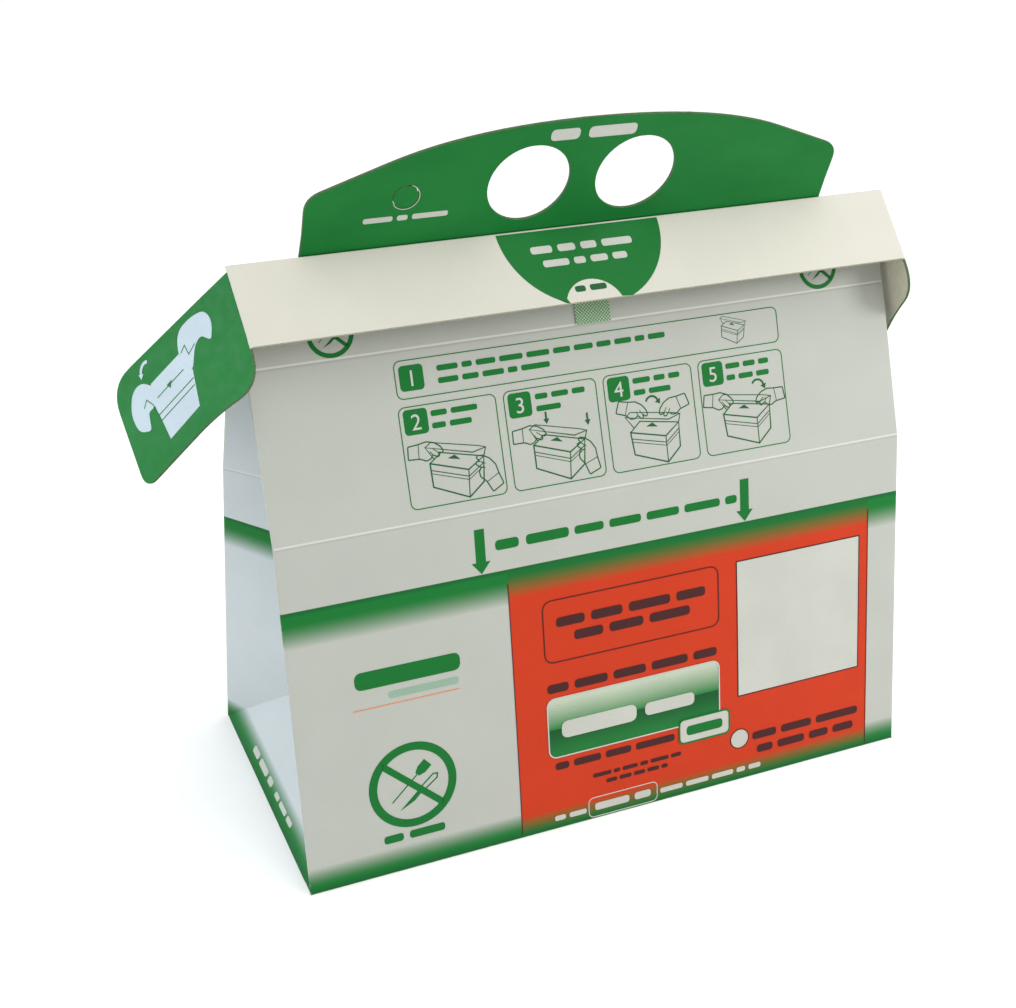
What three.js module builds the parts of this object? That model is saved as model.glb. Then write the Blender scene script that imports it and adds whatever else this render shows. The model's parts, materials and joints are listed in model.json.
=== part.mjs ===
// Folding fibreboard bin for infectious laboratory waste: a gable-shaped carton with a carrying handle.
// Its sides fold inward like the gussets of a paper bag, and every panel between two scores is one solid.
// Units are millimetres, +Z is up, the front faces -Y, and the origin is the middle of the underside.
import * as THREE from 'three';

// Driving dimensions of the carton
const LENGTH = 240;
const DEPTH = 113;
const LOWER_HEIGHT = 125;        // flat height of the front and back panels, up to the lower score
const RIDGE_Z = 206.5;           // height of the fold that joins the upper flap to the back panel
const STRIP_SCORE = 57;          // flat height from the lower score to the upper score
const STRIP_HEIGHT = 20.5;       // the front sealing strip, which ends under the upper flap
const LOWER_LEAN = THREE.MathUtils.degToRad(11.24);
const BOARD = 1.0;               // thickness of the solid board
const GAP = 0.3;                 // clearance between neighbouring pieces
const SLACK = 0.05;              // a little more clearance where two pieces share a slanting edge
const SEAL_CLEARANCE = 1.6;      // from the front strip's outer face to the ridge fold

// Upper flap and its two side tabs
const FLAP_DEPTH = 28;
const FLAP_SLOPE = THREE.MathUtils.degToRad(43);
const FLAP_START = 1.6;          // board kept clear of the ridge fold
const TAB_REACH = 66;
const TAB_OVERHANG = 12;         // the tabs' front edge starts this far past the flap's front edge
const TAB_FLARE = 7.2;           // and runs this much further forward at their outer end
const TAB_SLANT = THREE.MathUtils.degToRad(2.2); // their folds converge toward the flap's front edge
const TAB_BACK_SLOPE = 0.1;      // how fast their back edge leans forward
const TAB_END_SLANT = 3.5;       // their outer end narrows by this much toward the front
const TAB_KNEE = 22;             // from the fold to the bend in their front edge
const TAB_CORNERS = { hinge: 0.5, back: 11, outer: 6, knee: 10, front: 11 };
const TAB_CLEARANCE = 0.7;       // from the carton's side edges to the inner face of a folded tab
const TAB_FOLD = {
  left: THREE.MathUtils.degToRad(58),
  right: THREE.MathUtils.degToRad(78),
};

// Handle
const HANDLE_HALF_WIDTH = 96.3;
const HANDLE_X = -1.2;           // the handle board is glued on a little left of the middle
const HANDLE_SIDE_HEIGHT = 22;
const HANDLE_SHOULDER_X = 70;
const HANDLE_SHOULDER_HEIGHT = 32.3;
const HANDLE_HEIGHT = 42.7;
const HANDLE_CROWN = 0.62;       // where the top curve's control point lies, as a share of the shoulder
const HANDLE_CORNER = 5;
const HOLE_RADIUS = 14.4;
const HOLE_SPACING = 38.6;
const HOLE_HEIGHT = 19.5;
const HOLE_PAIR_X = -1.8;        // the middle of the finger holes, from the middle of the handle
const TAG_HOLE_X = -63.2;        // from the middle of the handle
const TAG_HOLE_HEIGHT = 19;
const TAG_HOLE_RADIUS = 4.4;
const PLY_MARGIN = 4;            // the handle's backing ply stops short of the back panel's lower score

// Inside and seals
const MAT_LENGTH = 222;
const MAT_WIDTH = 100;
const MAT_THICKNESS = 4;
const MAT_CORNER = 8;
const SEAM_WIDTH = 12;
const SEAM_INSET = 8;
const SEAM_START = 12;           // the lower seam starts above the mat
const SEAM_MARGIN = 3;           // the glued seams stop short of the scores
const TAPE_LENGTH = 210;
const TAPE_WIDTH = 12;
const TAPE_THICKNESS = 0.3;
const LINER_MARGIN = 1;          // release paper beyond the tape on each long side
const LINER_TAIL = 8;            // and at one end, where it is gripped and peeled
const PAD_WIDTH = 13;
const PAD_HEIGHT = 10;
const PAD_X = 1;

// Sizes worked out from the driving dimensions
const HALF_LENGTH = LENGTH / 2;
const HALF_DEPTH = DEPTH / 2;
const SCORE_Y = HALF_DEPTH - LOWER_HEIGHT * Math.sin(LOWER_LEAN);
const SCORE_Z = LOWER_HEIGHT * Math.cos(LOWER_LEAN);
const RIDGE_RISE = RIDGE_Z - SCORE_Z;
const RIDGE_REACH = Math.hypot(SCORE_Y, RIDGE_RISE);
const STRAIGHT_LEAN = Math.atan2(SCORE_Y, RIDGE_RISE);
const FRONT_LEAN = STRAIGHT_LEAN + Math.asin(SEAL_CLEARANCE / RIDGE_REACH);
const BACK_LEAN = STRAIGHT_LEAN - Math.asin(BOARD / 2 / RIDGE_REACH);
const FOLD_TRIM = BOARD * 1.3 + GAP;             // board kept back from a square fold
const SCORE_TRIM = GAP / 2 + SLACK;              // board kept back from each side of a shallow score
const WEB_INSET = 2 * BOARD + GAP;               // the webs' outer faces start inside the panels' faces
const CORNER_LIFT = 4.5;                         // a corner web's lowest point, up the panel's edge
const CREASE_LIFT = 1.2;                         // the webs' clearance over the bottom gusset's apex
const GUSSET_LIFT = 2.5;                         // a bottom gusset's lower edge clears the base's board
const GUSSET_TRIM = 2;                           // and its apex stops this far short of the crease
const TAB_HINGE_X = HALF_LENGTH + BOARD / 2 + TAB_CLEARANCE;
const BACK_TOP = RIDGE_REACH - FLAP_START;
const PLY_OFFSET = BOARD + GAP;
const WEB_STEPS = 4;                             // squares along each side of a twisted web

const COLOURS = {
  white: 0xdcdcd2,
  cream: 0xf1eee4,
  green: 0x1e8242,
  mat: 0xe9ebe4,
  tape: 0xd8cfa8,
  paper: 0xf7f3e6,
  pad: 0x4f9a68,
};

function material(colour, roughness = 0.7) {
  return new THREE.MeshStandardMaterial({ color: colour, roughness, metalness: 0 });
}

// --- Shapes ---------------------------------------------------------------------------------------

function rectangle(left, bottom, right, top) {
  const shape = new THREE.Shape();
  shape.moveTo(left, bottom);
  shape.lineTo(right, bottom);
  shape.lineTo(right, top);
  shape.lineTo(left, top);
  shape.closePath();
  return shape;
}

// An outline of straight sides whose corners, [x, y, radius], are rounded.
function roundedOutline(corners) {
  const shape = new THREE.Shape();
  const count = corners.length;
  corners.forEach(([x, y, radius], index) => {
    const corner = new THREE.Vector2(x, y);
    const before = new THREE.Vector2(...corners[(index + count - 1) % count]);
    const after = new THREE.Vector2(...corners[(index + 1) % count]);
    const arrive = before.sub(corner).setLength(radius).add(corner);
    const leave = after.sub(corner).setLength(radius).add(corner);
    if (index === 0) {
      shape.moveTo(arrive.x, arrive.y);
    } else {
      shape.lineTo(arrive.x, arrive.y);
    }
    shape.quadraticCurveTo(corner.x, corner.y, leave.x, leave.y);
  });
  shape.closePath();
  return shape;
}

function circle(x, y, radius) {
  const path = new THREE.Path();
  path.absarc(x, y, radius, 0, 2 * Math.PI, true);
  return path;
}

// --- Solids ---------------------------------------------------------------------------------------

// A flat piece of the given thickness whose outer face lies at z = outer in its group.
function addPlate(parent, name, shape, colour, { thickness = BOARD, outer = 0, segments = 10 } = {}) {
  const geometry = new THREE.ExtrudeGeometry(shape, {
    depth: thickness,
    bevelEnabled: false,
    curveSegments: segments,
  });
  const mesh = new THREE.Mesh(geometry, material(colour));
  mesh.name = name;
  mesh.position.z = outer - thickness;
  parent.add(mesh);
}

// A group that lies in a leaning panel: x runs along the carton, y up the panel and z out of its face.
function panelGroup(parent, y, z, lean) {
  const group = new THREE.Group();
  group.position.set(0, y, z);
  group.rotation.x = Math.PI / 2 - lean;
  parent.add(group);
  return group;
}

function signedVolume(points, triangles) {
  const cross = new THREE.Vector3();
  return triangles.reduce((sum, [a, b, c]) => (
    sum + cross.crossVectors(points[b], points[c]).dot(points[a]) / 6
  ), 0);
}

function closedMesh(name, points, triangles, colour) {
  const outward = signedVolume(points, triangles) > 0;
  const geometry = new THREE.BufferGeometry();
  geometry.setAttribute('position', new THREE.Float32BufferAttribute(points.flatMap((p) => p.toArray()), 3));
  geometry.setIndex(triangles.flatMap(([a, b, c]) => (outward ? [a, b, c] : [a, c, b])));
  geometry.computeVertexNormals();
  const mesh = new THREE.Mesh(geometry, material(colour));
  mesh.name = name;
  return mesh;
}

// A folded web of board between four corners, twisted where they don't lie in one plane.
// The corners run round its outer face, and the board's thickness is laid on the side of `inside`.
function addWeb(parent, name, corners, inside) {
  const [a, b, c, d] = corners;
  const steps = WEB_STEPS;
  const columns = steps + 1;
  const rise = d.clone().sub(a).lerp(c.clone().sub(b), 0.5);
  const outer = [];
  const inner = [];
  for (let row = 0; row <= steps; row += 1) {
    const v = row / steps;
    const left = a.clone().lerp(d, v);
    const right = b.clone().lerp(c, v);
    for (let column = 0; column <= steps; column += 1) {
      const point = left.clone().lerp(right, column / steps);
      const normal = right.clone().sub(left).cross(rise).normalize();
      const side = Math.sign(inside.clone().sub(point).dot(normal));
      outer.push(point);
      inner.push(point.clone().addScaledVector(normal, side * BOARD));
    }
  }
  const count = outer.length;
  const triangles = [];
  for (let row = 0; row < steps; row += 1) {
    for (let column = 0; column < steps; column += 1) {
      const corner = row * columns + column;
      const quad = [corner, corner + 1, corner + columns + 1, corner + columns];
      triangles.push([quad[0], quad[1], quad[2]], [quad[0], quad[2], quad[3]]);
      triangles.push([quad[0] + count, quad[2] + count, quad[1] + count]);
      triangles.push([quad[0] + count, quad[3] + count, quad[2] + count]);
    }
  }
  const rim = [];
  for (let side = 0; side < 4; side += 1) {
    for (let i = 0; i < steps; i += 1) {
      const along = side < 2 ? i : steps - i;
      const across = side === 1 || side === 2 ? steps : 0;
      rim.push(side % 2 === 0 ? across * columns + along : along * columns + across);
    }
  }
  rim.forEach((from, index) => {
    const to = rim[(index + 1) % rim.length];
    triangles.push([from, to + count, to], [from, from + count, to + count]);
  });
  parent.add(closedMesh(name, [...outer, ...inner], triangles, COLOURS.white));
}

// A flat triangular web.
function addTriangle(parent, name, corners, inside) {
  const normal = corners[1].clone().sub(corners[0]).cross(corners[2].clone().sub(corners[0])).normalize();
  const side = Math.sign(inside.clone().sub(corners[0]).dot(normal));
  const inner = corners.map((corner) => corner.clone().addScaledVector(normal, side * BOARD));
  const triangles = [[0, 1, 2], [3, 5, 4]];
  for (let i = 0; i < 3; i += 1) {
    const next = (i + 1) % 3;
    triangles.push([i, next + 3, next], [i, i + 3, next + 3]);
  }
  parent.add(closedMesh(name, [...corners, ...inner], triangles, COLOURS.white));
}

// --- The fold geometry of the sides ---------------------------------------------------------------

// Points of one leaning side edge, seen from the front half: y and z at a flat height above the base.
function edgePoint(flatHeight, upperLean) {
  const lower = Math.min(flatHeight, LOWER_HEIGHT);
  const upper = Math.max(flatHeight - LOWER_HEIGHT, 0);
  return {
    y: -HALF_DEPTH + lower * Math.sin(LOWER_LEAN) + upper * Math.sin(upperLean),
    z: lower * Math.cos(LOWER_LEAN) + upper * Math.cos(upperLean),
  };
}

// The same point moved inside the panel's board, where a web starts.
function webEdge(flatHeight, upperLean, lean) {
  const { y, z } = edgePoint(flatHeight, upperLean);
  return new THREE.Vector3(
    -HALF_LENGTH,
    y + WEB_INSET * Math.cos(lean),
    z - WEB_INSET * Math.sin(lean),
  );
}

// The gusset's middle crease lies in the plane y = 0. Its first point is where the slanting folds that
// rise at 45 degrees from the base corners meet: half the depth up the flat side.
const CREASE_START = (() => {
  const rise = HALF_DEPTH * (1 - Math.sin(LOWER_LEAN)) / Math.cos(LOWER_LEAN);
  return { inward: Math.sqrt(HALF_DEPTH ** 2 - rise ** 2), z: rise };
})();

// The next point up the crease keeps two flat lengths: the one along the crease, and the web's width.
function nextCreasePoint(previous, alongCrease, edge) {
  const width = Math.sqrt(HALF_DEPTH ** 2 - edge.y ** 2);
  const toEdge = Math.hypot(previous.inward, edge.z - previous.z);
  const along = (alongCrease ** 2 - width ** 2 + toEdge ** 2) / (2 * toEdge);
  const across = Math.sqrt(alongCrease ** 2 - along ** 2);
  const ux = -previous.inward / toEdge;
  const uz = (edge.z - previous.z) / toEdge;
  return {
    inward: previous.inward + along * ux + across * uz,
    z: previous.z + along * uz - across * ux,
  };
}

const CREASE_MIDDLE = nextCreasePoint(
  CREASE_START,
  LOWER_HEIGHT - HALF_DEPTH,
  edgePoint(LOWER_HEIGHT, STRAIGHT_LEAN),
);
const CREASE_TOP = nextCreasePoint(
  CREASE_MIDDLE,
  STRIP_SCORE,
  edgePoint(LOWER_HEIGHT + STRIP_SCORE, STRAIGHT_LEAN),
);

function creaseVector({ inward, z }, lift) {
  return new THREE.Vector3(-HALF_LENGTH + inward, -GAP / 2 - SLACK, z + lift);
}

// --- One half of the body -------------------------------------------------------------------------

// Points made for the half's left end, kept there for side -1 and mirrored to its right for side 1.
function atEnd(points, side) {
  return points.map((point) => new THREE.Vector3(point.x * -side, point.y, point.z));
}

// The webs of one corner. side is -1 at the half's left and 1 at its right.
function addCornerWebs(half, side, prefix, upperLean) {
  const inside = new THREE.Vector3(0, -HALF_DEPTH / 2, SCORE_Z / 2);
  addTriangle(half, `${prefix}_corner_web`, atEnd([
    webEdge(CORNER_LIFT, upperLean, LOWER_LEAN),
    webEdge(HALF_DEPTH - SCORE_TRIM, upperLean, LOWER_LEAN),
    creaseVector(CREASE_START, CREASE_LIFT - 2 * SCORE_TRIM),
  ], side), inside);
  addWeb(half, `${prefix}_middle_web`, atEnd([
    webEdge(HALF_DEPTH + SCORE_TRIM, upperLean, LOWER_LEAN),
    creaseVector(CREASE_START, CREASE_LIFT + SCORE_TRIM),
    creaseVector(CREASE_MIDDLE, -SCORE_TRIM),
    webEdge(LOWER_HEIGHT - SCORE_TRIM, upperLean, LOWER_LEAN),
  ], side), inside);
  addWeb(half, `${prefix}_upper_web`, atEnd([
    webEdge(LOWER_HEIGHT + 3 * SCORE_TRIM, upperLean, upperLean),
    creaseVector(CREASE_MIDDLE, 2 * SCORE_TRIM),
    creaseVector(CREASE_TOP, 0),
    webEdge(LOWER_HEIGHT + STRIP_SCORE, upperLean, upperLean),
  ], side), inside);
}

function addLowerPanel(half, name) {
  const panel = panelGroup(half, -HALF_DEPTH, 0, LOWER_LEAN);
  const outline = rectangle(-HALF_LENGTH, FOLD_TRIM, HALF_LENGTH, LOWER_HEIGHT - SCORE_TRIM);
  addPlate(panel, name, outline, COLOURS.white);
  return panel;
}

// The triangle that rises from one end of the base to the start of the middle crease.
function addBottomGusset(parent, name, side) {
  const inside = new THREE.Vector3(0, 0, SCORE_Z);
  const lean = Math.atan2(CREASE_START.inward, CREASE_START.z);
  const reach = HALF_DEPTH - 2 * GUSSET_LIFT;
  const apex = HALF_DEPTH - GUSSET_TRIM;
  const at = (y, up) => new THREE.Vector3(
    side * (HALF_LENGTH - up * Math.sin(lean)),
    y,
    up * Math.cos(lean),
  );
  const corners = [at(-reach, GUSSET_LIFT), at(reach, GUSSET_LIFT), at(0, apex)];
  addTriangle(parent, name, corners, inside);
}

// --- The whole carton -----------------------------------------------------------------------------

const bin = new THREE.Group();

function addBase() {
  const outline = rectangle(-HALF_LENGTH, -HALF_DEPTH, HALF_LENGTH, HALF_DEPTH);
  addPlate(bin, 'base_panel', outline, COLOURS.white, { outer: BOARD });
  const mat = roundedOutline([
    [-MAT_LENGTH / 2, -MAT_WIDTH / 2, MAT_CORNER],
    [MAT_LENGTH / 2, -MAT_WIDTH / 2, MAT_CORNER],
    [MAT_LENGTH / 2, MAT_WIDTH / 2, MAT_CORNER],
    [-MAT_LENGTH / 2, MAT_WIDTH / 2, MAT_CORNER],
  ]);
  addPlate(bin, 'absorbent_mat', mat, COLOURS.mat, {
    thickness: MAT_THICKNESS,
    outer: BOARD + GAP + MAT_THICKNESS,
  });
}

function addFrontHalf() {
  const half = new THREE.Group();
  bin.add(half);
  addLowerPanel(half, 'front_lower_panel');
  addCornerWebs(half, -1, 'left_front', FRONT_LEAN);
  addCornerWebs(half, 1, 'right_front', FRONT_LEAN);

  const upper = panelGroup(half, -SCORE_Y, SCORE_Z, FRONT_LEAN);
  const panel = rectangle(-HALF_LENGTH, SCORE_TRIM, HALF_LENGTH, STRIP_SCORE - SCORE_TRIM);
  addPlate(upper, 'front_upper_panel', panel, COLOURS.white);

  const stripTop = STRIP_SCORE + STRIP_HEIGHT;
  const strip = rectangle(-HALF_LENGTH, STRIP_SCORE + SCORE_TRIM, HALF_LENGTH, stripTop);
  addPlate(upper, 'front_seal_strip', strip, COLOURS.white);

  const tapeBottom = STRIP_SCORE + (STRIP_HEIGHT - TAPE_WIDTH) / 2;
  const tape = rectangle(-TAPE_LENGTH / 2, tapeBottom, TAPE_LENGTH / 2, tapeBottom + TAPE_WIDTH);
  const tapeFace = -BOARD - GAP;
  addPlate(upper, 'adhesive_strip', tape, COLOURS.tape, { thickness: TAPE_THICKNESS, outer: tapeFace });
  const liner = rectangle(
    -TAPE_LENGTH / 2,
    tapeBottom - LINER_MARGIN,
    TAPE_LENGTH / 2 + LINER_TAIL,
    tapeBottom + TAPE_WIDTH + LINER_MARGIN,
  );
  addPlate(upper, 'release_paper', liner, COLOURS.paper, {
    thickness: TAPE_THICKNESS,
    outer: tapeFace - TAPE_THICKNESS - GAP,
  });

  const padBottom = STRIP_SCORE + SCORE_TRIM;
  const pad = rectangle(PAD_X - PAD_WIDTH / 2, padBottom, PAD_X + PAD_WIDTH / 2, padBottom + PAD_HEIGHT);
  addPlate(upper, 'temporary_seal_pad', pad, COLOURS.pad, {
    thickness: TAPE_THICKNESS,
    outer: GAP + TAPE_THICKNESS,
  });
}

// The back half is the front half turned round, so its own left is the carton's right.
function addBackHalf() {
  const half = new THREE.Group();
  half.rotation.z = Math.PI;
  bin.add(half);
  const lower = addLowerPanel(half, 'back_lower_panel');
  addCornerWebs(half, -1, 'right_back', BACK_LEAN);
  addCornerWebs(half, 1, 'left_back', BACK_LEAN);

  const seamLeft = -HALF_LENGTH + SEAM_INSET;
  const seamRight = seamLeft + SEAM_WIDTH;
  const seamFace = -BOARD - GAP;
  const lowerSeam = rectangle(seamLeft, SEAM_START, seamRight, LOWER_HEIGHT - SEAM_MARGIN);
  addPlate(lower, 'glue_seam_lower', lowerSeam, COLOURS.white, { outer: seamFace });

  const upper = panelGroup(half, -SCORE_Y, SCORE_Z, BACK_LEAN);
  const panel = rectangle(-HALF_LENGTH, SCORE_TRIM, HALF_LENGTH, BACK_TOP);
  addPlate(upper, 'back_upper_panel', panel, COLOURS.white);
  const upperSeam = rectangle(seamLeft, SEAM_MARGIN, seamRight, STRIP_SCORE);
  addPlate(upper, 'glue_seam_upper', upperSeam, COLOURS.white, { outer: seamFace });

  const plyTop = RIDGE_REACH - GAP;
  const plyLeft = -HANDLE_X - HANDLE_HALF_WIDTH;
  const ply = rectangle(plyLeft, PLY_MARGIN, plyLeft + 2 * HANDLE_HALF_WIDTH, plyTop);
  addPlate(upper, 'handle_backing_ply', ply, COLOURS.green, { outer: PLY_OFFSET });
  addHandle(upper);
}

// Handle and tag hole, drawn as seen from the front; the back panel's group sees them mirrored.
function addHandle(backPanel) {
  const handle = new THREE.Group();
  handle.position.set(-HANDLE_X, RIDGE_REACH, 0);
  handle.rotation.y = Math.PI;
  backPanel.add(handle);

  const crownX = HANDLE_SHOULDER_X * HANDLE_CROWN;
  const outline = new THREE.Shape();
  outline.moveTo(-HANDLE_HALF_WIDTH, GAP);
  outline.lineTo(HANDLE_HALF_WIDTH, GAP);
  addShoulder(outline, 1);
  outline.quadraticCurveTo(crownX, HANDLE_HEIGHT, 0, HANDLE_HEIGHT);
  outline.quadraticCurveTo(-crownX, HANDLE_HEIGHT, -HANDLE_SHOULDER_X, HANDLE_SHOULDER_HEIGHT);
  addShoulder(outline, -1);
  outline.closePath();

  for (const side of [-1, 1]) {
    outline.holes.push(circle(HOLE_PAIR_X + side * HOLE_SPACING / 2, HOLE_HEIGHT, HOLE_RADIUS));
  }
  outline.holes.push(circle(TAG_HOLE_X, TAG_HOLE_HEIGHT, TAG_HOLE_RADIUS));
  addPlate(handle, 'handle', outline, COLOURS.green, { outer: -GAP, segments: 24 });

  const tag = new THREE.Shape();
  tag.absarc(TAG_HOLE_X, TAG_HOLE_HEIGHT, TAG_HOLE_RADIUS - GAP - SLACK, 0, 2 * Math.PI, false);
  addPlate(handle, 'tag_hole_flap', tag, COLOURS.green, { outer: -GAP, segments: 24 });
}

// The handle's side, rounded corner and straight shoulder, going up at the right and down at the left.
function addShoulder(outline, side) {
  const radius = HANDLE_CORNER;
  const slope = (HANDLE_SHOULDER_HEIGHT - HANDLE_SIDE_HEIGHT) / (HANDLE_HALF_WIDTH - HANDLE_SHOULDER_X);
  const below = [side * HANDLE_HALF_WIDTH, HANDLE_SIDE_HEIGHT - radius];
  const beyond = [side * (HANDLE_HALF_WIDTH - radius), HANDLE_SIDE_HEIGHT + radius * slope];
  const corner = [side * HANDLE_HALF_WIDTH, HANDLE_SIDE_HEIGHT];
  if (side > 0) {
    outline.lineTo(...below);
    outline.quadraticCurveTo(...corner, ...beyond);
    outline.lineTo(HANDLE_SHOULDER_X, HANDLE_SHOULDER_HEIGHT);
  } else {
    outline.lineTo(...beyond);
    outline.quadraticCurveTo(...corner, ...below);
  }
}

// The upper flap hangs forward from the ridge. In its group y runs from the ridge to its front edge
// and z points to its underside.
function addUpperFlap() {
  const flap = new THREE.Group();
  flap.position.set(0, 0, RIDGE_Z);
  flap.rotation.x = Math.PI + FLAP_SLOPE;
  bin.add(flap);
  const outline = new THREE.Shape();
  outline.moveTo(-flapHalfLength(FLAP_START), FLAP_START);
  outline.lineTo(flapHalfLength(FLAP_START), FLAP_START);
  outline.lineTo(flapHalfLength(FLAP_DEPTH), FLAP_DEPTH);
  outline.lineTo(-flapHalfLength(FLAP_DEPTH), FLAP_DEPTH);
  outline.closePath();
  addPlate(flap, 'upper_flap', outline, COLOURS.cream, { outer: BOARD / 2 });

  for (const [side, name] of [[-1, 'left'], [1, 'right']]) {
    const tab = new THREE.Group();
    tab.position.x = side * TAB_HINGE_X;
    tab.rotation.set(0, -side * TAB_FOLD[name], side * TAB_SLANT, 'ZYX');
    flap.add(tab);
    addPlate(tab, `${name}_tab`, tabOutline(side), COLOURS.green, { outer: BOARD / 2 });
  }
}

// Half the flap's length at a distance from the ridge: it ends just short of the tabs' slanted folds.
function flapHalfLength(distance) {
  const clearance = (BOARD / 2 + GAP + 2 * SLACK) / Math.cos(TAB_SLANT);
  return TAB_HINGE_X - clearance - distance * Math.tan(TAB_SLANT);
}

// A side tab: x runs away from its fold and y from the ridge to the front edge. It leans forward as it
// goes out, and reaches past the flap's front edge.
function tabOutline(side) {
  const fold = side * (BOARD / 2 + GAP);
  const back = FLAP_START + TAB_REACH * TAB_BACK_SLOPE;
  const front = FLAP_DEPTH + TAB_OVERHANG;
  return roundedOutline([
    [fold, FLAP_START, TAB_CORNERS.hinge],
    [side * TAB_REACH, back, TAB_CORNERS.back],
    [side * (TAB_REACH - TAB_END_SLANT), front + TAB_FLARE, TAB_CORNERS.outer],
    [side * TAB_KNEE, front, TAB_CORNERS.knee],
    [fold, front, TAB_CORNERS.front],
  ]);
}

addBase();
addFrontHalf();
addBackHalf();
addUpperFlap();
for (const [side, name] of [[-1, 'left'], [1, 'right']]) {
  addBottomGusset(bin, `${name}_bottom_gusset`, side);
}

export default bin;
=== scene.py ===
"""Looks of the folding waste carton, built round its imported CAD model.

Every panel and web is a thin sheet of board with rolled folds and clean cut edges, the print is a thin
layer of ink on top of it, and the mat, tape, liner and pad are pieces of their own.
Flat places are in millimetres on a sheet's middle plane; objects are in metres.
"""

import json
import math
import random

import bmesh
import bpy
import numpy as np
from mathutils import Matrix, Vector, geometry


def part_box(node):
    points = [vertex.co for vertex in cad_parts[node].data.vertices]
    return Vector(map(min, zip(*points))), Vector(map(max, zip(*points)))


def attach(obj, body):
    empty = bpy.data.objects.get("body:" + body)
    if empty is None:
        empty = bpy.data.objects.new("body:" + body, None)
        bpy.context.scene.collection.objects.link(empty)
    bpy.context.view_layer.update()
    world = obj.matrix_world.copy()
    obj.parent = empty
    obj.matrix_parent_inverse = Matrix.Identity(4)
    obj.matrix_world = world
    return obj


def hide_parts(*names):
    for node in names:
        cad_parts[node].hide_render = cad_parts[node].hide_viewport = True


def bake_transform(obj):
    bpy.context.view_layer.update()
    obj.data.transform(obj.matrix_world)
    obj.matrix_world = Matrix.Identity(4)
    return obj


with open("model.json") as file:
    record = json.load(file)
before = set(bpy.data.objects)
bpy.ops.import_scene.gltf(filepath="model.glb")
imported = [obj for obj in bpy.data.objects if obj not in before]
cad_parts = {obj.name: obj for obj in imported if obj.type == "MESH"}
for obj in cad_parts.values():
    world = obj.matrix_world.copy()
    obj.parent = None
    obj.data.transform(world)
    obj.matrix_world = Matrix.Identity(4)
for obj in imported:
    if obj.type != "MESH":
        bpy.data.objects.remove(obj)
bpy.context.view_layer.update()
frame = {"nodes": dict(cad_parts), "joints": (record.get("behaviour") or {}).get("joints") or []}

MM = 0.001
JOINTS = {joint["name"]: joint for joint in frame["joints"]}

# --- Sizes, from the frame ---


def box_mm(node):
    low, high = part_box(node)
    return np.array(low) / MM, np.array(high) / MM


def hinge_yz(joint):
    return np.array(JOINTS[joint]["pos_m"][1:]) / MM


HALF_LENGTH, HALF_DEPTH, BOARD = box_mm("base_panel")[1]
HALF_BOARD = BOARD / 2
DEPTH = 2 * HALF_DEPTH
SCORE_Y, SCORE_Z = hinge_yz("back_panel_open")
RIDGE_Y, RIDGE_Z = hinge_yz("upper_flap_fold")
STRIP_Y, STRIP_Z = hinge_yz("front_strip_fold")
HANDLE_Y, HANDLE_Z = hinge_yz("handle_tilt")

LOWER_LEAN = math.atan2(HALF_DEPTH - SCORE_Y, SCORE_Z)
LOWER_HEIGHT = math.hypot(HALF_DEPTH - SCORE_Y, SCORE_Z)
FRONT_LEAN = math.atan2(STRIP_Y + SCORE_Y, STRIP_Z - SCORE_Z)
STRIP_SCORE = math.hypot(STRIP_Y + SCORE_Y, STRIP_Z - SCORE_Z)
RIDGE_REACH = math.hypot(SCORE_Y, RIDGE_Z - SCORE_Z)
BACK_LEAN = math.atan2(SCORE_Y, RIDGE_Z - SCORE_Z) - math.asin(HALF_BOARD / RIDGE_REACH)
FLAP_SLOPE = math.atan2(JOINTS["left_tab_fold"]["axis"][2], JOINTS["left_tab_fold"]["axis"][1])
TAB_HINGE_X = JOINTS["right_tab_fold"]["pos_m"][0] / MM
TAB_UP = {
    "left": -np.array(JOINTS["left_tab_fold"]["axis"]),
    "right": np.array(JOINTS["right_tab_fold"]["axis"]),
}
TAB_SLANT = math.asin(TAB_UP["left"][0])
TAB_FOLD = {side: math.radians(JOINTS[f"{side}_tab_fold"]["range_deg"][1]) for side in ("left", "right")}

STRIP_HEIGHT = (box_mm("front_seal_strip")[1][2] - STRIP_Z) / math.cos(FRONT_LEAN)
FLAP_DEPTH = -(box_mm("upper_flap")[0][1] + HALF_BOARD * math.sin(FLAP_SLOPE)) / math.cos(FLAP_SLOPE)

# Printed and cut features of the blank
FILL_LINE = 103.2
BAND_SOLID = 99.0
BAND_END = 90.2
FOOT_SOLID = 2.8
FOOT_END = 9.8
RED_LEFT, RED_RIGHT = -40.7, 106.8
INK = 0.07

GREEN = (0.0045, 0.150, 0.024)
DEEP_GREEN = (0.004, 0.105, 0.022)
RED = (0.52, 0.037, 0.008)
BOARD_WHITE = (0.43, 0.447, 0.408)
# the side webs' board white, painted bluer and lighter than the front's: painted light from the left and
# above
SIDE_WHITE_PAINTED_LIGHT = (0.52, 0.56, 0.575)
# the flap's board white, painted lighter than the front's: painted light on the flap, which faces up
CREAM_PAINTED_LIGHT = (0.575, 0.57, 0.505)
REVERSE = (0.72, 0.70, 0.56)
CORE = (0.27, 0.26, 0.20)
INKED_CORE = (0.055, 0.10, 0.045)
DARK_INK = (0.055, 0.014, 0.014)


# --- Sheets: where a flat place on a panel lies in space ---


def unit(vector):
    vector = np.asarray(vector, float)
    return vector / np.linalg.norm(vector)


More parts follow.
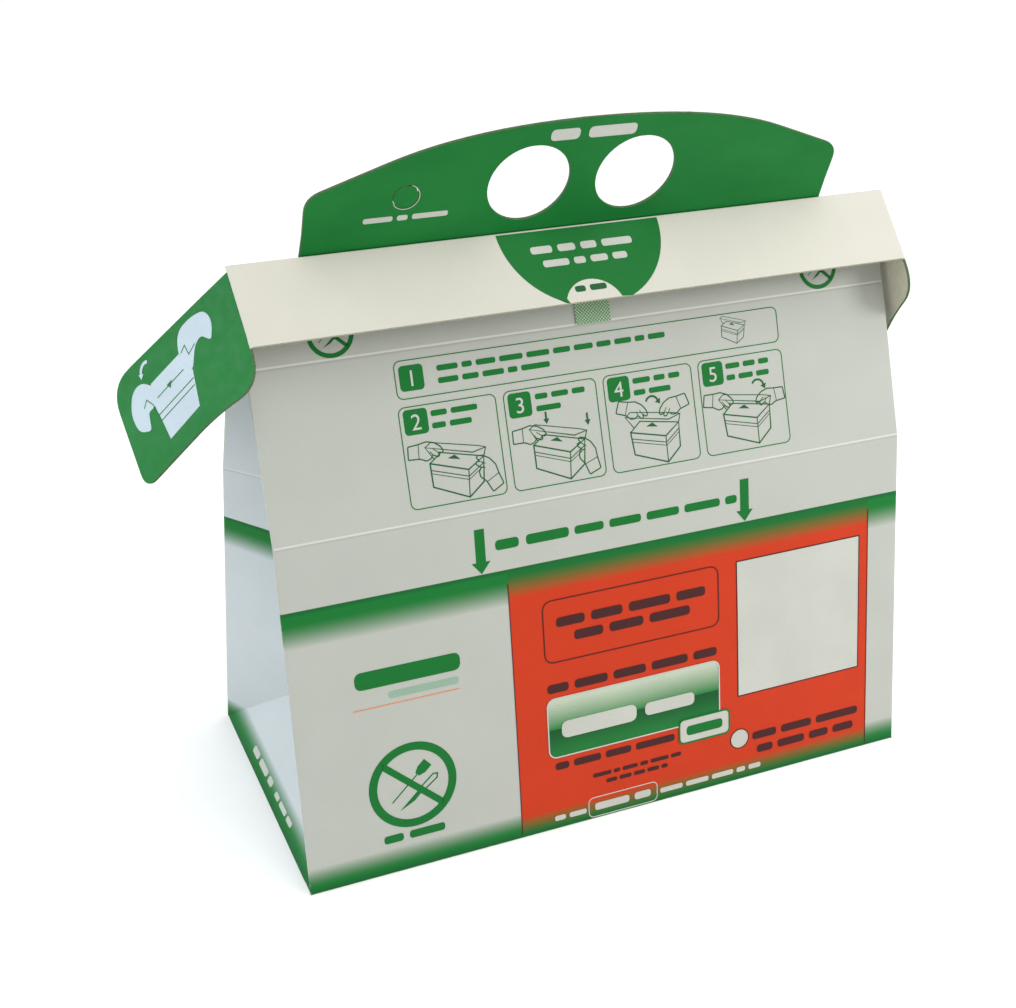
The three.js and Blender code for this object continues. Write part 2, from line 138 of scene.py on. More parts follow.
class Leaf:
    """A flat panel. Its flat x runs along `across`, v along `up`, and `normal` points out of its face."""

    def __init__(self, origin, across, up, normal, bow=None, blank=(0.0, 0.0)):
        self.origin = np.asarray(origin, float)
        self.across = unit(across)
        self.up = unit(up)
        self.normal = unit(normal)
        self.flipped = np.dot(np.cross(self.across, self.up), self.normal) < 0
        self.bow = bow
        self.blank = np.asarray(blank, float)

    def at(self, flat, lift):
        points = self.origin + flat[:, :1] * self.across + flat[:, 1:2] * self.up
        swell = self.bow(flat[:, 0], flat[:, 1]) if self.bow else 0.0
        return points + np.outer(np.zeros(len(flat)) + lift + swell, self.normal)

    def normals(self, flat):
        return np.tile(self.normal, (len(flat), 1))

    def place_on_blank(self, flat):
        return flat + self.blank


class Web:
    """A web stretched between four corners and perhaps twisted. Its flat places run from 0 to 1."""

    def __init__(self, corners, blank_corners, inside, dent=0.0):
        self.corners = [np.asarray(corner, float) for corner in corners]
        self.blank_corners = [np.asarray(corner, float) for corner in blank_corners]
        self.dent = dent
        middle = np.array([[0.5, 0.5]])
        outward = self.spread(self.corners, middle) - np.asarray(inside, float)
        self.flipped = bool(np.dot(self.raw_normals(middle)[0], outward[0]) < 0)

    @staticmethod
    def spread(corners, flat):
        s, t = flat[:, :1], flat[:, 1:2]
        a, b, c, d = corners
        return a * (1 - s) * (1 - t) + b * s * (1 - t) + c * s * t + d * (1 - s) * t

    def raw_normals(self, flat):
        s, t = flat[:, :1], flat[:, 1:2]
        a, b, c, d = self.corners
        along_s = (b - a) * (1 - t) + (c - d) * t
        along_t = (d - a) * (1 - s) + (c - b) * s
        normals = np.cross(along_s, along_t)
        return normals / np.linalg.norm(normals, axis=1, keepdims=True)

    def normals(self, flat):
        return self.raw_normals(flat) * (-1 if self.flipped else 1)

    def at(self, flat, lift):
        s, t = flat[:, 0], flat[:, 1]
        swell = -self.dent * np.sin(math.pi * s) * np.sin(math.pi * t)
        return self.spread(self.corners, flat) + self.normals(flat) * (lift + swell)[:, None]

    def place_on_blank(self, flat):
        return self.spread(self.blank_corners, flat)


def triangle_leaf(corners, blank_corners, inside):
    """A flat triangular web as a Leaf, with its corners' flat places and a blank that fits them."""
    a, b, c = (np.asarray(corner, float) for corner in corners)
    across = unit(b - a)
    normal = unit(np.cross(across, c - a))
    if np.dot(normal, a - np.asarray(inside, float)) < 0:
        normal = -normal
    up = unit(c - a - np.dot(c - a, across) * across)
    leaf = Leaf(a, across, up, normal)
    flat = np.array([[np.dot(p - a, across), np.dot(p - a, up)] for p in (a, b, c)])
    square = np.column_stack([flat, np.ones(3)])
    fit = np.linalg.solve(square, np.asarray(blank_corners, float))
    leaf.place_on_blank = lambda places: np.column_stack([places, np.ones(len(places))]) @ fit
    return leaf, flat


# --- Mesh making ---


def ruled(start, stop, step, border=1.2):
    """Grid lines from start to stop, with one more close to each end so that edges stay crisp."""
    count = max(2, round((stop - start - 2 * border) / step) + 1)
    return np.concatenate([[start], np.linspace(start + border, stop - border, count), [stop]])


def grid(columns, rows):
    """Points and square faces of a rectangle ruled by these lines."""
    points = np.array([[x, v] for v in rows for x in columns])
    wide = len(columns)
    faces = [
        [r * wide + c, r * wide + c + 1, (r + 1) * wide + c + 1, (r + 1) * wide + c]
        for r in range(len(rows) - 1)
        for c in range(wide - 1)
    ]
    return points, faces


def cut_up(points, faces, step):
    """The same flat shapes cut along the lines of a square grid, so that they can follow a bowed sheet."""
    mesh = bmesh.new()
    vertices = [mesh.verts.new((x, v, 0)) for x, v in points]
    for face in faces:
        mesh.faces.new([vertices[i] for i in face])
    low, high = np.min(points, axis=0), np.max(points, axis=0)
    for axis in (0, 1):
        direction = Vector((1, 0, 0) if axis == 0 else (0, 1, 0))
        for i in range(math.ceil(low[axis] / step), math.floor(high[axis] / step) + 1):
            parts = mesh.verts[:] + mesh.edges[:] + mesh.faces[:]
            bmesh.ops.bisect_plane(
                mesh, geom=parts, dist=1e-4, plane_co=direction * (i * step), plane_no=direction
            )
    mesh.verts.index_update()
    cut_points = np.array([vertex.co[:2] for vertex in mesh.verts])
    cut_faces = [[vertex.index for vertex in face.verts] for face in mesh.faces]
    mesh.free()
    return cut_points, cut_faces


def outline_faces(loops, step):
    """Points and faces of the area inside the first loop and outside the others."""
    points = [point for loop in loops for point in loop]
    triangles = geometry.tessellate_polygon([[Vector((x, v, 0)) for x, v in loop] for loop in loops])
    faces = []
    for a, b, c in triangles:
        (ax, av), (bx, bv), (cx, cv) = points[a], points[b], points[c]
        turn = (bx - ax) * (cv - av) - (bv - av) * (cx - ax)
        faces.append([a, b, c] if turn > 0 else [a, c, b])
    return cut_up(points, faces, step)


def boundary_edges(faces):
    """The edges that only one face has. The outside is on their right."""
    edges = [(face[i - 1], face[i]) for face in faces for i in range(len(face))]
    known = set(edges)
    return [(a, b) for a, b in edges if (b, a) not in known]


def make_object(name, vertices, faces, blank, edge_wear_and_highlight, looks, kinds):
    """A mesh object in metres, with its places on the blank as UVs and its mask for edge wear and painted
    edge highlight as an attribute.
    """
    mesh = bpy.data.meshes.new(name)
    mesh.from_pydata((np.asarray(vertices) * MM).tolist(), [], faces)
    uv = mesh.uv_layers.new(name="flat")
    corners = np.zeros(len(mesh.loops), np.int32)
    mesh.loops.foreach_get("vertex_index", corners)
    uv.data.foreach_set("uv", (np.asarray(blank) * MM)[corners].astype(np.float32).ravel())
    attribute = mesh.attributes.new("edge_wear_and_highlight", "FLOAT", "POINT")
    attribute.data.foreach_set("value", np.asarray(edge_wear_and_highlight, np.float32))
    for look in looks:
        mesh.materials.append(look)
    mesh.polygons.foreach_set("material_index", kinds)
    mesh.polygons.foreach_set("use_smooth", [True] * len(faces))
    mesh.update()
    piece = bpy.data.objects.new(name, mesh)
    bpy.context.scene.collection.objects.link(piece)
    return piece


def outward_miters(middle, normals, edges):
    """For each point of the rim, the vector that moves it straight out of the sheet by one millimetre."""
    arriving, leaving = {}, {}
    for a, b in edges:
        direction = unit(np.cross(middle[b] - middle[a], normals[a]))
        leaving[a] = direction
        arriving[b] = direction
    miters = {}
    for i, direction in leaving.items():
        other = arriving.get(i, direction)
        both = direction + other
        reach = max(np.dot(both, direction), 0.5)
        miters[i] = both / reach
    return miters


def on_line(point, line):
    start, stop = np.asarray(line[0], float), np.asarray(line[1], float)
    along = stop - start
    share = np.clip(np.dot(point - start, along) / np.dot(along, along), 0, 1)
    return np.linalg.norm(start + share * along - point) < 0.01


CHAMFER = 0.12            # taken off the corners of a cut edge
EASE = 0.3 * CHAMFER      # and off the middle of each of those corners
ROLL_ANGLES = [math.radians(angle) for angle in (60, 30, 0, -30, -60)]


def rim_profile(half, roll):
    """Places round a sheet's edge as (outward, up). A fold is rolled, and a cut edge has eased corners."""
    if roll > 0:
        return [(half * roll * math.cos(a), half * roll * math.sin(a)) for a in ROLL_ANGLES]
    upper = [(-EASE, half - EASE), (0, half - CHAMFER)]
    return [*upper, (0, 0), *[(outward, -up) for outward, up in upper[::-1]]]


def both_sides(sheet, faces, count):
    """Each face on the sheet's top and, `count` points later, on its underside, all looking outward."""
    made = []
    for face in faces:
        way = face[::-1] if sheet.flipped else face
        made += [list(way), [i + count for i in way[::-1]]]
    return made


def board(node, sheet, flat, faces, body, looks, folds=(), thickness=BOARD,
          crossing=None):
    """A sheet of board with its printed face, its reverse, rolled folds and cut edges.
    """
    half = thickness / 2
    flat = np.asarray(flat, float)
    count = len(flat)
    middle = sheet.at(flat, np.zeros(count))
    normals = sheet.normals(flat)
    edges = boundary_edges(faces)
    if sheet.flipped:
        edges = [(b, a) for a, b in edges]
    miters = outward_miters(middle, normals, edges)
    rolls = {i: max((f[2] for f in folds if on_line(flat[i], f[:2])), default=0.0) for i in miters}

    top = sheet.at(flat, np.full(count, half))
    bottom = sheet.at(flat, np.full(count, -half))
    for i, miter in miters.items():
        if rolls[i] == 0:
            top[i] -= miter * CHAMFER
            bottom[i] -= miter * CHAMFER
    vertices = [*top, *bottom]
    blank = [*sheet.place_on_blank(flat)] * 2
    rim_wear_and_highlight = [0.0] * (2 * count)
    rings = {}
    for i, miter in miters.items():
        rings[i] = [i]
        for outward, up in rim_profile(half, rolls[i]):
            rings[i].append(len(vertices))
            vertices.append(middle[i] + miter * outward + normals[i] * up)
            blank.append(blank[i])
            rim_wear_and_highlight.append(1.0)
        rings[i].append(i + count)

    made = both_sides(sheet, faces, count)
    kinds = [0, 1] * len(faces)
    for a, b in edges:
        folded = rolls[a] > 0 and rolls[b] > 0
        steps = len(rings[a]) - 1
        made += [[rings[a][k], rings[a][k + 1], rings[b][k + 1], rings[b][k]] for k in range(steps)]
        kinds += [0 if folded else 2] * steps
    piece = make_object(f"{node}_board", vertices, made, blank, rim_wear_and_highlight, looks, kinds)
    weigh = piece.modifiers.new("weighted_normals", "WEIGHTED_NORMAL")
    weigh.keep_sharp = True
    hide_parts(node)
    if crossing:
        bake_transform(piece)
    else:
        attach(piece, body)


INK_STEP = 10.0           # how finely print is cut up, so that it follows a bowed sheet
INK_GAP = 0.01            # between a film of ink and what it lies on


def print_on(sheet, art, name, body, look, level=1):
    """The art as a closed film of ink on the sheet's face; a higher level lies on a lower one."""
    flat, faces = cut_up(art.points, art.faces, INK_STEP)
    count = len(flat)
    low = HALF_BOARD + (level - 1) * INK + INK_GAP
    high = HALF_BOARD + level * INK
    vertices = [*sheet.at(flat, np.full(count, high)), *sheet.at(flat, np.full(count, low))]
    made = both_sides(sheet, faces, count)
    for a, b in boundary_edges(faces):
        side = [a, a + count, b + count, b]
        made.append(side[::-1] if sheet.flipped else side)
    blank = [*sheet.place_on_blank(flat)] * 2
    piece = make_object(name, vertices, made, blank, [0.0] * len(vertices), [look], [0] * len(made))
    piece.data.polygons.foreach_set("use_smooth", [False] * len(made))
    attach(piece, body)


# --- Flat shapes and art ---


def arc(x, v, radius, start, stop, steps):
    """Points on an arc of a circle, from one angle in degrees to another."""
    angles = [math.radians(start + (stop - start) * i / steps) for i in range(steps + 1)]
    return [(x + radius * math.cos(a), v + radius * math.sin(a)) for a in angles]


def rounded_box(left, bottom, right, top, radius, steps=5):
    points = []
    for x, v, start in (
        (right - radius, bottom + radius, -90),
        (right - radius, top - radius, 0),
        (left + radius, top - radius, 90),
        (left + radius, bottom + radius, 180),
    ):
        points += arc(x, v, radius, start, start + 90, steps)
    return points


def quadratic(start, control, stop, steps):
    """Points on a quadratic curve, both its ends included."""
    start, control, stop = (np.array(place, float) for place in (start, control, stop))
    shares = [i / steps for i in range(steps + 1)]
    return [tuple(start * (1 - t) ** 2 + 2 * control * t * (1 - t) + stop * t**2) for t in shares]


def rounded_outline(corners, steps=8):
    """Straight sides whose corners, (x, v, radius), are rounded by a quadratic curve."""
    points = []
    for i, (x, v, radius) in enumerate(corners):
        corner = np.array([x, v], float)
        before = np.array(corners[i - 1][:2], float)
        after = np.array(corners[(i + 1) % len(corners)][:2], float)
        arrive = corner + unit(before - corner) * radius
        leave = corner + unit(after - corner) * radius
        points += quadratic(arrive, corner, leave, steps)
    return points


def counter_clockwise(points):
    area = sum(
        points[i - 1][0] * points[i][1] - points[i][0] * points[i - 1][1] for i in range(len(points))
    )
    return points if area > 0 else points[::-1]


CAP_HEIGHT = 0.72         # the height of the font's numerals, as a share of its size


class Art:
    """Flat shapes of one colour on a panel, in millimetres."""

    def __init__(self, x=0.0, v=0.0, scale=1.0, turn=0.0):
        self.points = []
        self.faces = []
        self.move(x, v, scale, turn)

    def move(self, x=0.0, v=0.0, scale=1.0, turn=0.0):
        """What is drawn next is scaled, turned by degrees and set down at this place."""
        self.offset = np.array([x, v], float)
        angle = math.radians(turn)
        self.matrix = scale * np.array(
            [[math.cos(angle), -math.sin(angle)], [math.sin(angle), math.cos(angle)]]
        )
        return self

    def add(self, points, faces):
        first = len(self.points)
        placed = np.asarray(points, float) @ self.matrix.T + self.offset
        self.points += [tuple(point) for point in placed]
        self.faces += [[first + i for i in face] for face in faces]
        return self

    def fill(self, outline):
        outline = counter_clockwise(list(outline))
        return self.add(outline, [list(range(len(outline)))])

    def line(self, path, width, closed=False):
        path = np.asarray(path, float)
        count = len(path)
        left, right = [], []
        for i in range(count):
            before = path[i - 1] if closed or i > 0 else path[i]
            after = path[(i + 1) % count] if closed or i < count - 1 else path[i]
            ways = [unit(w) for w in (path[i] - before, after - path[i]) if np.linalg.norm(w) > 1e-9]
            sides = [np.array([-w[1], w[0]]) for w in ways]
            both = sides[0] + sides[-1]
            miter = both / max(np.dot(both, sides[0]), 0.6)
            left.append(path[i] + miter * width / 2)
            right.append(path[i] - miter * width / 2)
        spans = count if closed else count - 1
        faces = []
        for i in range(spans):
            j = (i + 1) % count
            faces.append([i + count, j + count, j, i])
        return self.add(left + right, faces)

    def ring(self, x, v, radius, width, steps=48):
        return self.line(arc(x, v, radius, 0, 360, steps)[:-1], width, closed=True)

    def disc(self, x, v, radius, steps=32):
        return self.fill(arc(x, v, radius, 0, 360, steps)[:-1])

    def bar(self, left, right, v, height):
        radius = min(height, right - left) * 0.35
        return self.fill(rounded_box(left, v - height / 2, right, v + height / 2, radius, 3))

    def words(self, left, right, v, height, seed=1):
        """A line of text stood for by plain bars, one for each word."""
        rng = random.Random(seed)
        x = left
        while x < right - height:
            length = rng.uniform(1.6, 5.0) * height
            stop = right if right - x - length < 2.2 * height else x + length
            self.bar(x, stop, v, height)
            x = stop + 0.75 * height
        return self

    def paragraph(self, lines, seed):
        """Lines of words, each as (left, right, v, height)."""
        for number, line in enumerate(lines):
            self.words(*line, seed=seed + number)
        return self

    def arrow(self, x, top, tip, shaft, head, head_length):
        """An arrow that points down."""
        neck = tip + head_length
        right = [(head / 2, neck), (shaft / 2, neck), (shaft / 2, top)]
        left = [(-across, v) for across, v in right[::-1]]
        return self.fill([(x + across, v) for across, v in [(0, tip), *right, *left]])

    def numeral(self, digit, x, v, height):
        """A plain step number, from Blender's own font."""
        curve = bpy.data.curves.new("numeral", "FONT")
        curve.body = str(digit)
        curve.size = height / CAP_HEIGHT
        curve.align_x = "CENTER"
        holder = bpy.data.objects.new("numeral", curve)
        bpy.context.scene.collection.objects.link(holder)
        graph = bpy.context.evaluated_depsgraph_get()
        mesh = bpy.data.meshes.new_from_object(holder.evaluated_get(graph), depsgraph=graph)
        solid = bmesh.new()
        solid.from_mesh(mesh)
        bmesh.ops.remove_doubles(solid, verts=solid.verts, dist=1e-5)
        solid.verts.index_update()
        points = [(vertex.co.x + x, vertex.co.y + v - height / 2) for vertex in solid.verts]
        faces = []
        for face in solid.faces:
            loop = [vertex.index for vertex in face.verts]
            faces.append(loop if face.normal.z > 0 else loop[::-1])
        solid.free()
        bpy.data.objects.remove(holder)
        bpy.data.curves.remove(curve)
        bpy.data.meshes.remove(mesh)
        return self.add(points, faces)


# --- Materials ---


class Look:
    """A material whose nodes are built step by step."""

    def __init__(self, name, roughness=0.55, specular=0.35):
        self.material = bpy.data.materials.new(name)
        self.material.use_nodes = True
        self.tree = self.material.node_tree
        self.shader = self.tree.nodes["Principled BSDF"]
        self.shader.inputs["Roughness"].default_value = roughness
        self.shader.inputs["Specular IOR Level"].default_value = specular
        self.places = None

    def node(self, kind, **settings):
        made = self.tree.nodes.new(kind)
        for key, value in settings.items():
            setattr(made, key, value)
        return made

    def feed(self, socket, value):
        if isinstance(value, bpy.types.NodeSocket):
            self.tree.links.new(value, socket)
        elif isinstance(value, (tuple, list)) and len(value) == 3 and socket.type == "RGBA":
            socket.default_value = (*value, 1)
        else:
            socket.default_value = value

    def math(self, operation, a, b=0.0, clamp=False):
        made = self.node("ShaderNodeMath", operation=operation, use_clamp=clamp)
        self.feed(made.inputs[0], a)
        self.feed(made.inputs[1], b)
        return made.outputs[0]

    def times(self, a, b):
        return self.math("MULTIPLY", a, b)

    def ramp(self, value, start, stop, low=0.0, high=1.0, smooth=True):
        """low below start and high above stop, or the other way round where start is the larger."""
        made = self.node("ShaderNodeMapRange", clamp=True)
        made.interpolation_type = "SMOOTHSTEP" if smooth else "LINEAR"
        for socket, number in zip(made.inputs[:5], (value, start, stop, low, high)):
            self.feed(socket, number)
        return made.outputs[0]

    def mix(self, share, a, b, blend="MIX"):
        made = self.node("ShaderNodeMix", data_type="RGBA", blend_type=blend)
        self.feed(made.inputs[0], share)
        self.feed(made.inputs[6], a)
        self.feed(made.inputs[7], b)
        return made.outputs[2]

    def flat(self):
        """The place on the blank in millimetres, as a vector and its x and v."""
        if self.places is None:
            uv = self.node("ShaderNodeUVMap", uv_map="flat")
            scale = self.node("ShaderNodeVectorMath", operation="SCALE")
            self.tree.links.new(uv.outputs[0], scale.inputs[0])
            scale.inputs["Scale"].default_value = 1 / MM
            parts = self.node("ShaderNodeSeparateXYZ")
            self.tree.links.new(scale.outputs[0], parts.inputs[0])
            self.places = (scale.outputs[0], parts.outputs[0], parts.outputs[1])
        return self.places

    def object_mm(self):
        coordinates = self.node("ShaderNodeTexCoord")
        scale = self.node("ShaderNodeVectorMath", operation="SCALE")
        self.tree.links.new(coordinates.outputs["Object"], scale.inputs[0])
        scale.inputs["Scale"].default_value = 1 / MM
        return scale.outputs[0]

    def noise(self, vector, size, detail=2.0, stretch=(1, 1, 1), rough=0.5):
        """Noise from 0 to 1 whose grains are about `size` millimetres."""
        mapping = self.node("ShaderNodeMapping")
        self.tree.links.new(vector, mapping.inputs[0])
        mapping.inputs["Scale"].default_value = [s / size for s in stretch]
        made = self.node("ShaderNodeTexNoise")
        made.inputs["Scale"].default_value = 1.0
        made.inputs["Detail"].default_value = detail
        made.inputs["Roughness"].default_value = rough
        self.tree.links.new(mapping.outputs[0], made.inputs["Vector"])
        return made.outputs[0]

    def bump(self, height, depth, under=None):
        """A bump of `depth` millimetres, on top of another one if given."""
        made = self.node("ShaderNodeBump")
        made.inputs["Strength"].default_value = 1.0
        made.inputs["Distance"].default_value = depth * MM
        self.feed(made.inputs["Height"], height)
        if under is not None:
            self.tree.links.new(under, made.inputs["Normal"])
        return made.outputs[0]

    def attribute(self, name):
        return self.node("ShaderNodeAttribute", attribute_name=name).outputs["Fac"]

    def finish(self, colour, roughness=None, normal=None):
        self.feed(self.shader.inputs["Base Color"], colour)
        if roughness is not None:
            self.feed(self.shader.inputs["Roughness"], roughness)
        if normal is not None:
            self.feed(self.shader.inputs["Normal"], normal)
        return self.material


def mottled(look, colour, vector, amount=0.03):
    """The colour with the faint cloudiness and fine specks that coated board shows."""
    clouds = look.ramp(look.noise(vector, 26.0, 2.0), 0.3, 0.7, 1 - amount, 1.0)
    specks = look.ramp(look.noise(vector, 0.5, 2.0), 0.25, 0.75, 1 - 1.6 * amount, 1.0)
    shade = look.times(clouds, specks)
    return look.mix(1.0, colour, look.mix(shade, (0, 0, 0), (1, 1, 1)), "MULTIPLY")


def paper_bump(look, vector, depth=0.018):
    """Fine grain over long shallow fibres and slow waves."""
    waves = look.bump(look.noise(vector, 45.0, 1.0, (0.6, 1, 1)), depth * 14)
    fibres = look.bump(look.noise(vector, 0.9, 3.0, (0.25, 1.4, 1)), depth * 1.3, waves)
    return look.bump(look.noise(vector, 0.3, 2.0), depth, fibres)


def worn(look, colour, vector, pale_fibre_and_highlight=(0.62, 0.64, 0.60), amount=0.3):
    """Paler rubbed patches where the board is folded or cut, which also serve as a painted highlight along
    those edges.
    """
    # paler patches along folds and cut edges: rubbed fibres and a painted edge highlight
    patches = look.ramp(look.noise(vector, 2.2, 3.0), 0.45, 0.75)
    share = look.times(look.ramp(look.attribute("edge_wear_and_highlight"), 0.3, 1.0), patches)
    return look.mix(look.times(share, amount), colour, pale_fibre_and_highlight)


def inside_box(look, value, low, high, blur=0.12):
    """1 where the value lies between low and high and 0 outside, with blurred ends."""
    rise = look.ramp(value, low - blur, low + blur)
    fall = look.ramp(value, high - blur, high + blur, 1.0, 0.0)
    return look.times(rise, fall)


FADE_POWER = 1.75
FADE_GRAIN = 0.35         # how far the fades' edges wander
LINE_FADE_ON_RED = 2.3    # how much shorter each fade is over the red panel
FOOT_FADE_ON_RED = 1.6
DEEPER_ON_RED = 0.55      # how far the green goes toward the deep green there


def faded(look, cover):
    """How much ink to mix in for a cover from 0 to 1, so that the fade looks even to the eye."""
    bare = look.math("SUBTRACT", 1.0, cover)
    return look.math("SUBTRACT", 1.0, look.math("POWER", bare, FADE_POWER))


def green_bands(look, colour, v, on_red=0.0):
    """The band under the fill line and the one along the foot, each fading into the board.

    Over the red panel the fades are shorter and the green is darker.
    """
    grain = look.ramp(look.noise(look.flat()[0], 0.5, 2.0), 0, 1, -FADE_GRAIN, FADE_GRAIN, smooth=False)
    ragged = look.math("ADD", v, grain)
    nearer_line = look.math("SUBTRACT", ragged, look.times(on_red, LINE_FADE_ON_RED))
    nearer_foot = look.math("ADD", ragged, look.times(on_red, FOOT_FADE_ON_RED))
    under_line = look.ramp(nearer_line, BAND_END, BAND_SOLID, smooth=False)
    below_line = look.ramp(v, FILL_LINE - 0.1, FILL_LINE + 0.1, 1.0, 0.0)
    upper = look.times(under_line, below_line)
    foot = look.ramp(nearer_foot, FOOT_SOLID, FOOT_END, 1.0, 0.0, smooth=False)
    cover = look.math("MAXIMUM", upper, foot)
    top_line = inside_box(look, v, FILL_LINE - 1.2, FILL_LINE, 0.8)
    deep = look.math("MAXIMUM", top_line, look.ramp(v, 0.5, 3.5, 1.0, 0.0))
    deep = look.math("MAXIMUM", deep, look.times(on_red, DEEPER_ON_RED))
    ink = look.mix(deep, GREEN, DEEP_GREEN)
    return look.mix(faded(look, cover), colour, ink)


def scored(look, colour, v):
    """The pressed score lines, as painted light and shade: a pale painted highlight along each ridge with a
    faint painted shadow under it.
    """
    for height in (LOWER_HEIGHT, LOWER_HEIGHT + STRIP_SCORE):
        ridge = inside_box(look, v, height + 0.1, height + 0.7, 0.15)
        painted_score_shadow = inside_box(look, v, height - 0.6, height, 0.15)
        # painted shadow under the score, then a painted highlight on its ridge
        colour = look.mix(look.times(painted_score_shadow, 0.35), colour, (0.30, 0.31, 0.28))
        colour = look.mix(look.times(ridge, 0.55), colour, (0.68, 0.69, 0.64))
    return colour


def printed_board(name, bands=False, red=False, colour=BOARD_WHITE):
    """The printed face of the board, perhaps with the green bands and the red panel."""
    look = Look(name, specular=0.15)
    vector, x, v = look.flat()
    painted = mottled(look, colour, vector)
    patch = 0.0
    if red:
        across = inside_box(look, x, RED_LEFT, RED_RIGHT)
        patch = look.times(across, inside_box(look, v, 0.2, FILL_LINE))
        painted = look.mix(patch, painted, mottled(look, RED, vector, 0.05))
    if bands:
        painted = green_bands(look, painted, v, patch)
    # painted highlight and shadow along the score lines
    painted = scored(look, painted, v)
    # rubbed fibres and a painted highlight along folds and cut edges
    painted = worn(look, painted, vector)
    roughness = look.ramp(look.noise(vector, 6.0, 2.0), 0.3, 0.7, 0.44, 0.56)
    return look.finish(painted, roughness, paper_bump(look, vector))


def solid_ink_board(name, colour, paler=1.15):
    """Board flooded with one ink, a little uneven, rubbed at its edges and with a painted highlight there.
    """
    look = Look(name, specular=0.12)
    vector = look.flat()[0]
    pale = tuple(min(c * paler + 0.004, 1) for c in colour)
    uneven = look.mix(look.ramp(look.noise(vector, 30.0, 3.0, (0.5, 1, 1)), 0.3, 0.7), colour, pale)
    painted = worn(look, mottled(look, uneven, vector, 0.06), vector, amount=0.2)
    roughness = look.ramp(look.noise(vector, 4.0, 2.0), 0.3, 0.7, 0.42, 0.55)
    return look.finish(painted, roughness, paper_bump(look, vector, 0.014))


def reverse_side():
    """The unprinted back of the board: warm grey, with visible fibres."""
    look = Look("board_reverse", roughness=0.8, specular=0.2)
    vector = look.flat()[0]
    fibres = look.ramp(look.noise(vector, 1.6, 4.0, (0.3, 1.5, 1), 0.7), 0.35, 0.7)
    colour = look.mix(fibres, REVERSE, tuple(c * 0.88 for c in REVERSE))
    flecks = look.ramp(look.noise(vector, 0.8, 1.0), 0.72, 0.78)
    colour = look.mix(look.times(flecks, 0.35), colour, (0.32, 0.27, 0.2))
    return look.finish(mottled(look, colour, vector, 0.08), 0.8, paper_bump(look, vector, 0.03))


def cut_edge(name="board_core", colour=CORE):
    """The layered core that shows where board is cut."""
    look = Look(name, roughness=0.9, specular=0.15)
    vector = look.object_mm()
    layers = look.noise(vector, 0.22, 3.0, (0.15, 0.15, 1))
    mixed = look.mix(look.ramp(layers, 0.3, 0.7), colour, tuple(c * 1.5 for c in colour))
    return look.finish(mixed, 0.9, look.bump(layers, 0.05))


def ink(name, colour, roughness=0.5):
    """A printed line or area of one colour."""
    look = Look(name, roughness=roughness, specular=0.15)
    vector = look.flat()[0]
    return look.finish(mottled(look, colour, vector, 0.06), roughness, paper_bump(look, vector, 0.014))


def plaque_ink(bottom, middle, top):
    """A green plaque, dark in its lower half and fading upward to white in its upper half."""
    look = Look("plaque_ink", roughness=0.48, specular=0.15)
    vector, _, v = look.flat()
    lower = look.mix(look.ramp(v, bottom, middle), (0.012, 0.17, 0.035), (0.005, 0.09, 0.02))
    upper = look.mix(look.ramp(v, middle, top - 1, smooth=False), (0.012, 0.2, 0.04), (0.5, 0.57, 0.45))
    colour = look.mix(look.ramp(v, middle - 0.1, middle + 0.1), lower, upper)
    return look.finish(mottled(look, colour, vector, 0.08), 0.48, paper_bump(look, vector, 0.014))


# --- The carton's sheets ---


def crossing_point(p, d, q, e):
    """Where two lines of the y-z plane cross, each given by a point and a direction."""
    share = np.linalg.solve(np.column_stack([d, -np.asarray(e)]), np.asarray(q) - p)[0]
    return np.asarray(p) + share * np.asarray(d)


def leaning(y, z, lean, side, blank=(0.0, 0.0), bow=None):
    """The sheet of a panel whose outer face starts at y, z. side is -1 at the front and 1 at the back."""
    up = (0, -side * math.sin(lean), math.cos(lean))
    normal = (0, side * math.cos(lean), math.sin(lean))
    origin = np.array([0, y, z]) - HALF_BOARD * np.array(normal)
    return Leaf(origin, (1, 0, 0), up, normal, bow, blank)


def swell(width, low, high, height):
    """A gentle outward bow that dies away at the panel's edges."""

    def bow(x, v):
        across = np.clip(0.5 + x / width, 0, 1)
        up = np.clip((v - low) / (high - low), 0, 1)
        return height * np.sin(math.pi * across) ** 0.8 * np.sin(math.pi * up)

    return bow


LOWER_BOW = swell(2 * HALF_LENGTH, 0, LOWER_HEIGHT, 0.7)
UPPER_BOW = swell(2 * HALF_LENGTH, 0, STRIP_SCORE, -0.35)

FRONT_LOWER = leaning(-HALF_DEPTH, 0, LOWER_LEAN, -1, bow=LOWER_BOW)
FRONT_UPPER = leaning(-SCORE_Y, SCORE_Z, FRONT_LEAN, -1, blank=(0, LOWER_HEIGHT), bow=UPPER_BOW)
FRONT_STRIP = leaning(STRIP_Y, STRIP_Z, FRONT_LEAN, -1, blank=(0, LOWER_HEIGHT + STRIP_SCORE))
BACK_LOWER = leaning(HALF_DEPTH, 0, LOWER_LEAN, 1, bow=LOWER_BOW)
BACK_UPPER = leaning(SCORE_Y, SCORE_Z, BACK_LEAN, 1, blank=(0, LOWER_HEIGHT))
BASE = Leaf((0, 0, HALF_BOARD), (1, 0, 0), (0, 1, 0), (0, 0, -1))
FLAP_UP = (0, -math.cos(FLAP_SLOPE), -math.sin(FLAP_SLOPE))
FLAP_NORMAL = (0, -math.sin(FLAP_SLOPE), math.cos(FLAP_SLOPE))


def flap_curl(x, v):
    """The flap's front edge lifts slightly, more toward the left end."""
    return 0.35 * (np.clip(v, 0, FLAP_DEPTH) / FLAP_DEPTH) ** 2 * np.cos(x / HALF_LENGTH * 1.6)


